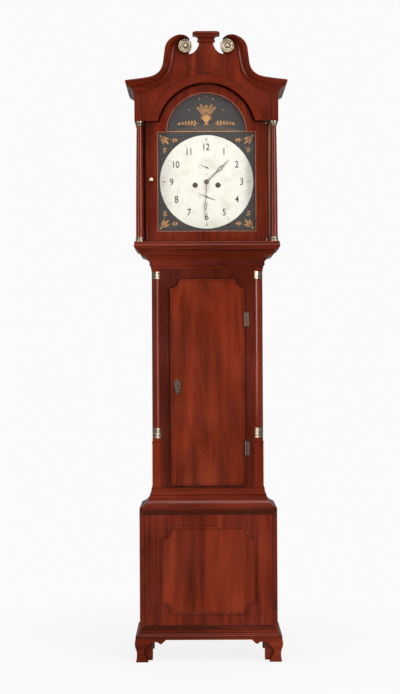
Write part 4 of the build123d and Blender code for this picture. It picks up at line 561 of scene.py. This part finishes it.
class CLOCK_OT_veneers(bpy.types.Operator):
    """Figured panel, crossbanding and dark stringing laid on the base and the tympanum"""
    bl_idname = "clock.veneers"
    bl_label = "Veneers and stringing"

    def execute(self, context):
        self.base()
        self.hood()
        return {"FINISHED"}

    def base(self):
        """Figured panel with hollow corners, inside a crossband and a dark string."""
        foot, head, half, hollow = 170.0, 464.0, 162.0, 38.0
        panel = []
        for cx, cz, start in ((-half, foot, 90), (half, foot, 180), (half, head, 270), (-half, head, 0)):
            panel += arc(cx, cz, hollow, start, start - 90, 16)
        skin("base_panel_veneer", [panel], BASE_FACE + VENEER, "case", "mahogany_figured")
        band = frame_of(-240.8, 240.8, 109.2, 529.8, 15.5)
        skin("base_crossband_level", band[0::2], BASE_FACE + VENEER, "case", "mahogany_crossband")
        skin("base_crossband_upright", band[1::2], BASE_FACE + VENEER, "case", "mahogany_crossband_side")
        skin("base_stringing", frame_of(-225.5, 225.5, 124.5, 514.5, 1.6), BASE_FACE + STRINGING, "case",
             "ebonised_string")

    def hood(self):
        """Crossband round the arch, dark strings, and a painted highlight strip on the right edge of the
        hood's side.
        """
        steps = 90
        arch_band = []
        for i in range(steps):
            quad = []
            for radius, k in ((ARCH_BAND_R, 0), (ARCH_BAND_OUT, 0), (ARCH_BAND_OUT, 1), (ARCH_BAND_R, 1)):
                low = math.degrees(math.asin((FRIEZE_FOOT - ARCH_Z) / radius))
                a = math.radians(low + (180 - 2 * low) * (i + k) / steps)
                quad.append((radius * math.cos(a), ARCH_Z + radius * math.sin(a)))
            arch_band.append(quad)
        skin("arch_crossband", arch_band, HOOD_FACE + VENEER, "hood", "mahogany_crossband_side")
        string = ring(0, ARCH_Z, ARCH_BAND_OUT, 202.6, 12.2, 167.8, steps=steps)
        skin("arch_stringing", string, HOOD_FACE + STRINGING, "hood", "ebonised_string")
        for s, side in ((-1, "left"), (1, "right")):
            skin(f"frieze_stringing_{side}", [oblong(s * 227 - 0.8, s * 227 + 0.8, 1891, 1980)],
                 HOOD_FACE + STRINGING, "hood", "ebonised_string")
        dip = [(78 * t, 2057 + 36 * abs(t) ** 1.9) for t in [i / 20 - 1 for i in range(41)]]
        swept("crest_stringing", dip, [(-0.9, 0), (0.9, 0)], HOOD_FACE + STRINGING, "hood", "ebonised_string")
        # Painted highlight: a pale strip on the right side only, where the lamp at the right lights the hood
        # side's front edge.
        skin("hood_side_painted_highlight", [oblong(217, 233.5, 1470, 1890)], 213.9, "hood", "mahogany_painted_highlight")


class CLOCK_OT_brasswork(bpy.types.Operator):
    """Turned and stamped brass on the case, with petals on the rosettes"""
    bl_idname = "clock.brasswork"
    bl_label = "Brasswork"

    def execute(self, context):
        dress("brass_lacquered_dull", "quarter_column_brasses", "hood_column_brasses", "rosettes")
        dress("brass_pale", "hood_knob")
        dress("brass_tarnished", "escutcheon", "hood_pivots", "trunk_hinges_fixed", "trunk_hinges_swinging")
        dress("iron_blacked", "trunk_lock")
        dress("steel_polished", "lock_bolt")
        points, faces = [], []
        for s in (-1, 1):
            for i in range(12):
                a = math.radians(30 * i)
                low = len(points)
                for out, across in ((10.5, 0), (13, 2.0), (16.5, 2.9), (19.2, 1.5), (20, 0), (19.2, -1.5),
                                    (16.5, -2.9), (13, -2.0)):
                    points.append(point(s * ROSETTE_X + out * math.cos(a) - across * math.sin(a),
                                        ROSETTE_FACE + 3.1,
                                        ROSETTE_Z + out * math.sin(a) + across * math.cos(a)))
                points.append(point(s * ROSETTE_X + 15.5 * math.cos(a), ROSETTE_FACE + 5.0,
                                    ROSETTE_Z + 15.5 * math.sin(a)))
                faces += [[low + k, low + (k + 1) % 8, low + 8] for k in range(8)]
        piece("rosette_petals", points, faces, "hood", "brass_lacquered_dull", smooth=True)
        return {"FINISHED"}


class CLOCK_OT_window(bpy.types.Operator):
    """Glass in the hood door and the bead round it"""
    bl_idname = "clock.window"
    bl_label = "Glass and bead"

    def execute(self, context):
        dress("glass_sheet", "hood_glass")
        spring = math.degrees(math.asin((SIGHT_SHOULDER - ARCH_Z) / SIGHT_R))
        path = [(-SIGHT_HALF, SIGHT_FOOT), (SIGHT_HALF, SIGHT_FOOT), (SIGHT_HALF, SIGHT_SHOULDER)]
        path += arc(0, ARCH_Z, SIGHT_R, spring, 180 - spring, 60) + [(-SIGHT_HALF, SIGHT_SHOULDER)]
        # The bead's paler finish is a painted highlight where its edge catches the light.
        swept("sight_bead", path, scaled(HALF_ROUND, 1.5), DOOR_FACE - 0.2, "hood_door", "mahogany_bead_highlight",
              closed=True)
        return {"FINISHED"}


class CLOCK_OT_dial(bpy.types.Operator):
    """Painted dial: black ground, white disc, numerals, faded small scales and gilt leaves"""
    bl_idname = "clock.dial"
    bl_label = "Dial"

    def execute(self, context):
        dial = context.scene.clock_dial
        dress("enamel_black", "dial")
        disc_r = dial.disc_radius * 1000
        height = dial.numeral_height * 1000
        self.disc(disc_r)
        ink = []
        for hour in range(1, 13):
            ink += number(str(hour), *on_circle(hour, NUMERAL_R), height * 1.38)
        for hour, text in ((12, "60"), (3, "15"), (6, "30"), (9, "45")):
            ink += number(text, *on_circle(hour, FIGURE_R), 10.5)
        for hour in (1, 2, 4, 5, 7, 8, 10, 11):
            x, z = on_circle(hour, HOUR_DOT_R)
            ink.append(round_face(x, z, 1.3, 12))
        for minute in range(60):
            x, z = on_circle(minute / 5, MINUTE_R)
            ink.append(round_face(x, z, 0.8 if minute % 5 else 1.5, 10))
        fine = []
        for cz, count, texts in ((SECONDS_Z, 60, ("60", "15", "30", "45")),
                                 (DATE_Z, 31, ("31", "8", "16", "24"))):
            fine += ticks(0, cz, SCALE_IN, SCALE_OUT, count, 0.45)
            for i, text in enumerate(texts):
                a = math.radians(90 * i)
                fine += number(text, SCALE_FIGURE_R * math.sin(a), cz + SCALE_FIGURE_R * math.cos(a), 7.0)
        skin("dial_fine_ink", fine, DIAL_FACE + INK_COAT, "case", "ink_faded")
        skin("dial_ink", ink, DIAL_FACE + INK_COAT, "case", "ink_black")
        collets = []
        for x in (WINDING_X, -WINDING_X):
            collets += ring(x, WINDING_Z, 7.6, 9.6, steps=40)
        skin("winding_collets", collets, DIAL_FACE + COLLET_COAT, "case", "brass_bronzed")
        self.gilding()
        return {"FINISHED"}

    def disc(self, disc_r):
        """White disc cut round the holes: a fine grid of rings that leaves them open."""
        holes = ((0, SECONDS_Z, SMALL_HOLE_R), (0, DATE_Z, SMALL_HOLE_R),
                 (WINDING_X, WINDING_Z, WINDING_HOLE_R), (-WINDING_X, WINDING_Z, WINDING_HOLE_R))
        rings = 64
        loops = []
        radii = [CENTRE_HOLE_R + (disc_r - CENTRE_HOLE_R) * i / rings for i in range(rings + 1)]
        for r0, r1 in zip(radii, radii[1:]):
            for quad in ring(0, CENTRE_Z, r0, r1, steps=180):
                cx = sum(p[0] for p in quad) / 4
                cz = sum(p[1] for p in quad) / 4
                if all(math.hypot(cx - x, cz - z) > radius + 0.6 for x, z, radius in holes):
                    loops.append(quad)
        skin("dial_disc", loops, DIAL_FACE + DISC_COAT, "case", "enamel_white")

    def gilding(self):
        """Gilt line under the arch, an urn with leaf sprays on a mound, and a fan in each corner."""
        line = 1861.7
        gilt = [oblong(-139, 139, line - 1.1, line + 1.1)]
        mound = [(-112, line + 3), (112, line + 3), (84, line + 11), (52, line + 19), (20, line + 24),
                 (-18, line + 24), (-56, line + 18), (-88, line + 10)]
        foot = line + 24
        gilt += [[(-9, foot), (9, foot), (6, foot + 3), (-6, foot + 3)],
                 [(-2.4, foot + 3), (2.4, foot + 3), (2.4, foot + 8), (-2.4, foot + 8)],
                 [(-4, foot + 8), (4, foot + 8), (12, foot + 17), (14, foot + 27), (10, foot + 31),
                  (-10, foot + 31), (-14, foot + 27), (-12, foot + 17)],
                 oblong(-12, 12, foot + 32, foot + 34.5)]
        for s in (-1, 1):
            gilt += ring(s * 14, foot + 24, 3.4, 4.9, steps=20)
        crown = spray(0, foot + 35, 90, 0, 3, 8.5, 12)
        for tilt in (38, 66):
            right = spray(2, foot + 35, tilt, 6 - tilt / 9, 4, 8.0, 11)
            crown += right + mirrored(right)
        gilt += crown
        low = spray(26, line + 27, 8, -3, 6, 11, 12)
        gilt += low + mirrored(low)
        for x, z in ((0, 1985), (24, 1976), (-24, 1976), (60, 1938), (-60, 1938)):
            gilt.append(round_face(x, z, 2.2, 14))
        for s in (-1, 1):
            for up in (-1, 1):
                fan = []
                for spread, length in ((-26, 30), (0, 38), (26, 30)):
                    fan.append(leaf(160, 160, 225 + spread, length, 9))
                fan += spray(150, 128, 258, 8, 2, 9, 10) + spray(128, 150, 192, -8, 2, 9, 10)
                fan.append(round_face(163, 163, 4.2, 16))
                gilt += [[(s * x, CENTRE_Z + up * z) for x, z in loop] for loop in fan]
        skin("painted_mound", [mound], DIAL_FACE + MOUND_COAT, "case", "enamel_earth")
        skin("dial_gilding", gilt, DIAL_FACE + GILT_COAT, "case", "gilding")


class CLOCK_OT_hands(bpy.types.Operator):
    """Bronzed hour, minute, seconds and date hands"""
    bl_idname = "clock.hands"
    bl_label = "Hands"

    def execute(self, context):
        dress("brass_bronzed", "hour_hand", "seconds_hand", "date_hand", "minute_hand")
        return {"FINISHED"}


class CLOCK_OT_movement(bpy.types.Operator):
    """Brass, steel, bell metal and iron of the movement, pendulum and weights"""
    bl_idname = "clock.movement"
    bl_label = "Movement"

    def execute(self, context):
        dress("brass_polished", "movement_frame", "going_barrel", "strike_barrel", "going_great_wheel",
              "strike_great_wheel", "centre_wheel", "hour_wheel", "motion_wheel", "third_wheel",
              "escape_wheel", "pin_wheel", "gathering_wheel", "warning_wheel", "fly", "going_pulley",
              "strike_pulley")
        dress("brass_lacquered_dull", "pendulum_bob")
        dress("bell_metal", "bell")
        dress("steel_polished", "pendulum_rod", "anchor", "hammer")
        dress("iron_blacked", "going_weight", "strike_weight")
        return {"FINISHED"}


class CLOCK_OT_lines(bpy.types.Operator):
    """Upright gut lines of the weights' falls"""
    bl_idname = "clock.lines"
    bl_label = "Weight lines"

    def execute(self, context):
        for s, side in ((1, "going"), (-1, "strike")):
            for part, x, top in FALLS:
                self.fall(side, part, s * x, top)
        return {"FINISHED"}

    def fall(self, side, part, x, top):
        """One upright length of line, from the foot of the fall up to its top."""
        length, levels, sides = top - FALL_FOOT, 9, 10
        points, faces = [], []
        for i in range(levels):
            z = FALL_FOOT + length * i / (levels - 1)
            for k in range(sides):
                a = 2 * math.pi * k / sides
                points.append(point(x + LINE_R * math.cos(a), LINE_DEPTH + LINE_R * math.sin(a), z))
        for i in range(levels - 1):
            for k in range(sides):
                j = (k + 1) % sides
                faces.append([i * sides + j, i * sides + k, (i + 1) * sides + k, (i + 1) * sides + j])
        made = piece(f"{side}_line_{part}", points, faces, "case", "gut_line", smooth=True)
        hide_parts(f"{side}_line")
        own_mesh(made)


class CLOCK_OT_stage(bpy.types.Operator):
    """Pale floor, white room, soft lamps and the camera"""
    bl_idname = "clock.stage"
    bl_label = "Stage"

    def execute(self, context):
        stage = context.scene.clock_stage
        context.scene.view_settings.view_transform = "Standard"
        self.room(context.scene, stage)
        self.floor()
        self.lamp("key_lamp", (2.6, -3.3, 2.0), (0, 0, 1.15), (1.3, 2.4), stage.key_power)
        self.lamp("fill_lamp", (-3.0, -3.1, 1.7), (0, 0, 1.1), (1.2, 2.4), stage.fill_power)
        self.lamp("top_lamp", (0.3, -1.6, 4.2), (0, 0, 1.6), (2.2, 1.6), stage.fill_power * 0.8)
        data = bpy.data.cameras.new("camera")
        data.sensor_width = 36.0
        data.lens = stage.lens
        camera = bpy.data.objects.new("camera", data)
        camera.location = (-0.0262, -5.11, 1.1)
        camera.rotation_euler = (math.radians(90), math.radians(0.28), 0)
        context.scene.collection.objects.link(camera)
        context.scene.camera = camera
        return {"FINISHED"}

    def room(self, scene, stage):
        """White to the camera and through glass, dim in the polish, even light elsewhere."""
        world = bpy.data.worlds.new("room")
        world.use_nodes = True
        tree = world.node_tree
        tree.nodes.clear()
        path = add(tree, "ShaderNodeLightPath")
        direction = add(tree, "ShaderNodeTexCoord").outputs["Generated"]
        away = add(tree, "ShaderNodeSeparateXYZ", {0: direction}).outputs["Y"]
        polish = add(tree, "ShaderNodeMapRange", {0: away, 1: -0.2, 2: 0.5, 3: 0.08, 4: 0.20}).outputs[0]
        seen = add(tree, "ShaderNodeMath",
                   {0: path.outputs["Is Camera Ray"], 1: path.outputs["Is Transmission Ray"]},
                   operation="MAXIMUM").outputs[0]
        first = add(tree, "ShaderNodeMix",
                    {0: path.outputs["Is Glossy Ray"], 2: stage.room_light, 3: polish}).outputs[0]
        level = add(tree, "ShaderNodeMix", {0: seen, 2: first, 3: ROOM_WHITE}).outputs[0]
        light = add(tree, "ShaderNodeBackground", {"Color": (1, 1, 1, 1), "Strength": level})
        add(tree, "ShaderNodeOutputWorld", {0: light.outputs[0]})
        scene.world = world

    def floor(self):
        """A round pale floor that fades into the room's white, and is dim in the polish."""
        mesh = bpy.data.meshes.new("floor")
        radius, sides, drop = 3, 96, 0.0005
        turn = 2 * math.pi / sides
        points = [(radius * math.cos(i * turn), radius * math.sin(i * turn), -drop) for i in range(sides)]
        mesh.from_pydata(points, [], [list(range(sides))])
        floor = bpy.data.objects.new("floor", mesh)
        bpy.context.scene.collection.objects.link(floor)
        material = bpy.data.materials.new("floor_paper")
        material.use_nodes = True
        tree = material.node_tree
        tree.nodes.clear()
        place = add(tree, "ShaderNodeTexCoord").outputs["Object"]
        reach = add(tree, "ShaderNodeVectorMath", {0: place}, operation="LENGTH").outputs["Value"]
        fade = add(tree, "ShaderNodeMapRange", {0: reach, 1: 0.35, 2: 1.3, 3: 0.88, 4: 1.0},
                   interpolation_type="SMOOTHSTEP").outputs[0]
        path = add(tree, "ShaderNodeLightPath")
        seen = add(tree, "ShaderNodeMath",
                   {0: path.outputs["Is Camera Ray"], 1: path.outputs["Is Transmission Ray"]},
                   operation="MAXIMUM").outputs[0]
        share = add(tree, "ShaderNodeMath", {0: seen, 1: fade}, operation="MULTIPLY").outputs[0]
        share = add(tree, "ShaderNodeMath", {0: share, 1: path.outputs["Is Glossy Ray"]},
                    operation="MAXIMUM").outputs[0]
        strength = add(tree, "ShaderNodeMapRange",
                       {0: path.outputs["Is Glossy Ray"], 3: ROOM_WHITE, 4: 0.16}).outputs[0]
        paper = add(tree, "ShaderNodeBsdfDiffuse", {"Color": linear("#F4F4F4")})
        glow = add(tree, "ShaderNodeEmission", {"Color": (1, 1, 1, 1), "Strength": strength})
        both = add(tree, "ShaderNodeMixShader", {0: share, 1: paper.outputs[0], 2: glow.outputs[0]})
        add(tree, "ShaderNodeOutputMaterial", {0: both.outputs[0]})
        mesh.materials.append(material)

    def lamp(self, name, place, aim, size, power):
        """A soft oblong lamp, turned from its place towards its aim."""
        data = bpy.data.lights.new(name, "AREA")
        data.shape = "RECTANGLE"
        data.size, data.size_y = size
        data.energy = power
        lamp = bpy.data.objects.new(name, data)
        lamp.location = place
        lamp.rotation_euler = (Vector(aim) - Vector(place)).to_track_quat("-Z", "Y").to_euler()
        bpy.context.scene.collection.objects.link(lamp)


OPERATORS = (CLOCK_OT_case_wood, CLOCK_OT_hood_wood, CLOCK_OT_veneers, CLOCK_OT_brasswork, CLOCK_OT_window,
             CLOCK_OT_dial, CLOCK_OT_hands, CLOCK_OT_movement, CLOCK_OT_lines, CLOCK_OT_stage)


class CLOCK_PT_panel(bpy.types.Panel):
    """Lists the clock's settings and pieces"""
    bl_idname = "CLOCK_PT_panel"
    bl_label = "Longcase clock"
    bl_space_type = "VIEW_3D"
    bl_region_type = "UI"
    bl_category = "Clock"

    def draw(self, context):
        for group, names in ((context.scene.clock_wood, ("dark", "mid", "light", "panel")),
                             (context.scene.clock_dial, ("white", "black", "gilt", "disc_radius",
                                                         "numeral_height")),
                             (context.scene.clock_stage, ("key_power", "fill_power", "room_light", "lens"))):
            for name in names:
                self.layout.prop(group, name)
        for operator in OPERATORS:
            self.layout.operator(operator.bl_idname)


CLASSES = (ClockWood, ClockDial, ClockStage, *OPERATORS, CLOCK_PT_panel)


def register():
    for cls in CLASSES:
        bpy.utils.register_class(cls)
    bpy.types.Scene.clock_wood = bpy.props.PointerProperty(type=ClockWood)
    bpy.types.Scene.clock_dial = bpy.props.PointerProperty(type=ClockDial)
    bpy.types.Scene.clock_stage = bpy.props.PointerProperty(type=ClockStage)


def unregister():
    del bpy.types.Scene.clock_stage
    del bpy.types.Scene.clock_dial
    del bpy.types.Scene.clock_wood
    for cls in reversed(CLASSES):
        bpy.utils.unregister_class(cls)


def main():
    register()
    bpy.ops.clock.case_wood()
    bpy.ops.clock.hood_wood()
    bpy.ops.clock.veneers()
    bpy.ops.clock.brasswork()
    bpy.ops.clock.window()
    bpy.ops.clock.dial()
    bpy.ops.clock.hands()
    bpy.ops.clock.movement()
    bpy.ops.clock.lines()
    bpy.ops.clock.stage()


if __name__ == "__main__":
    main()
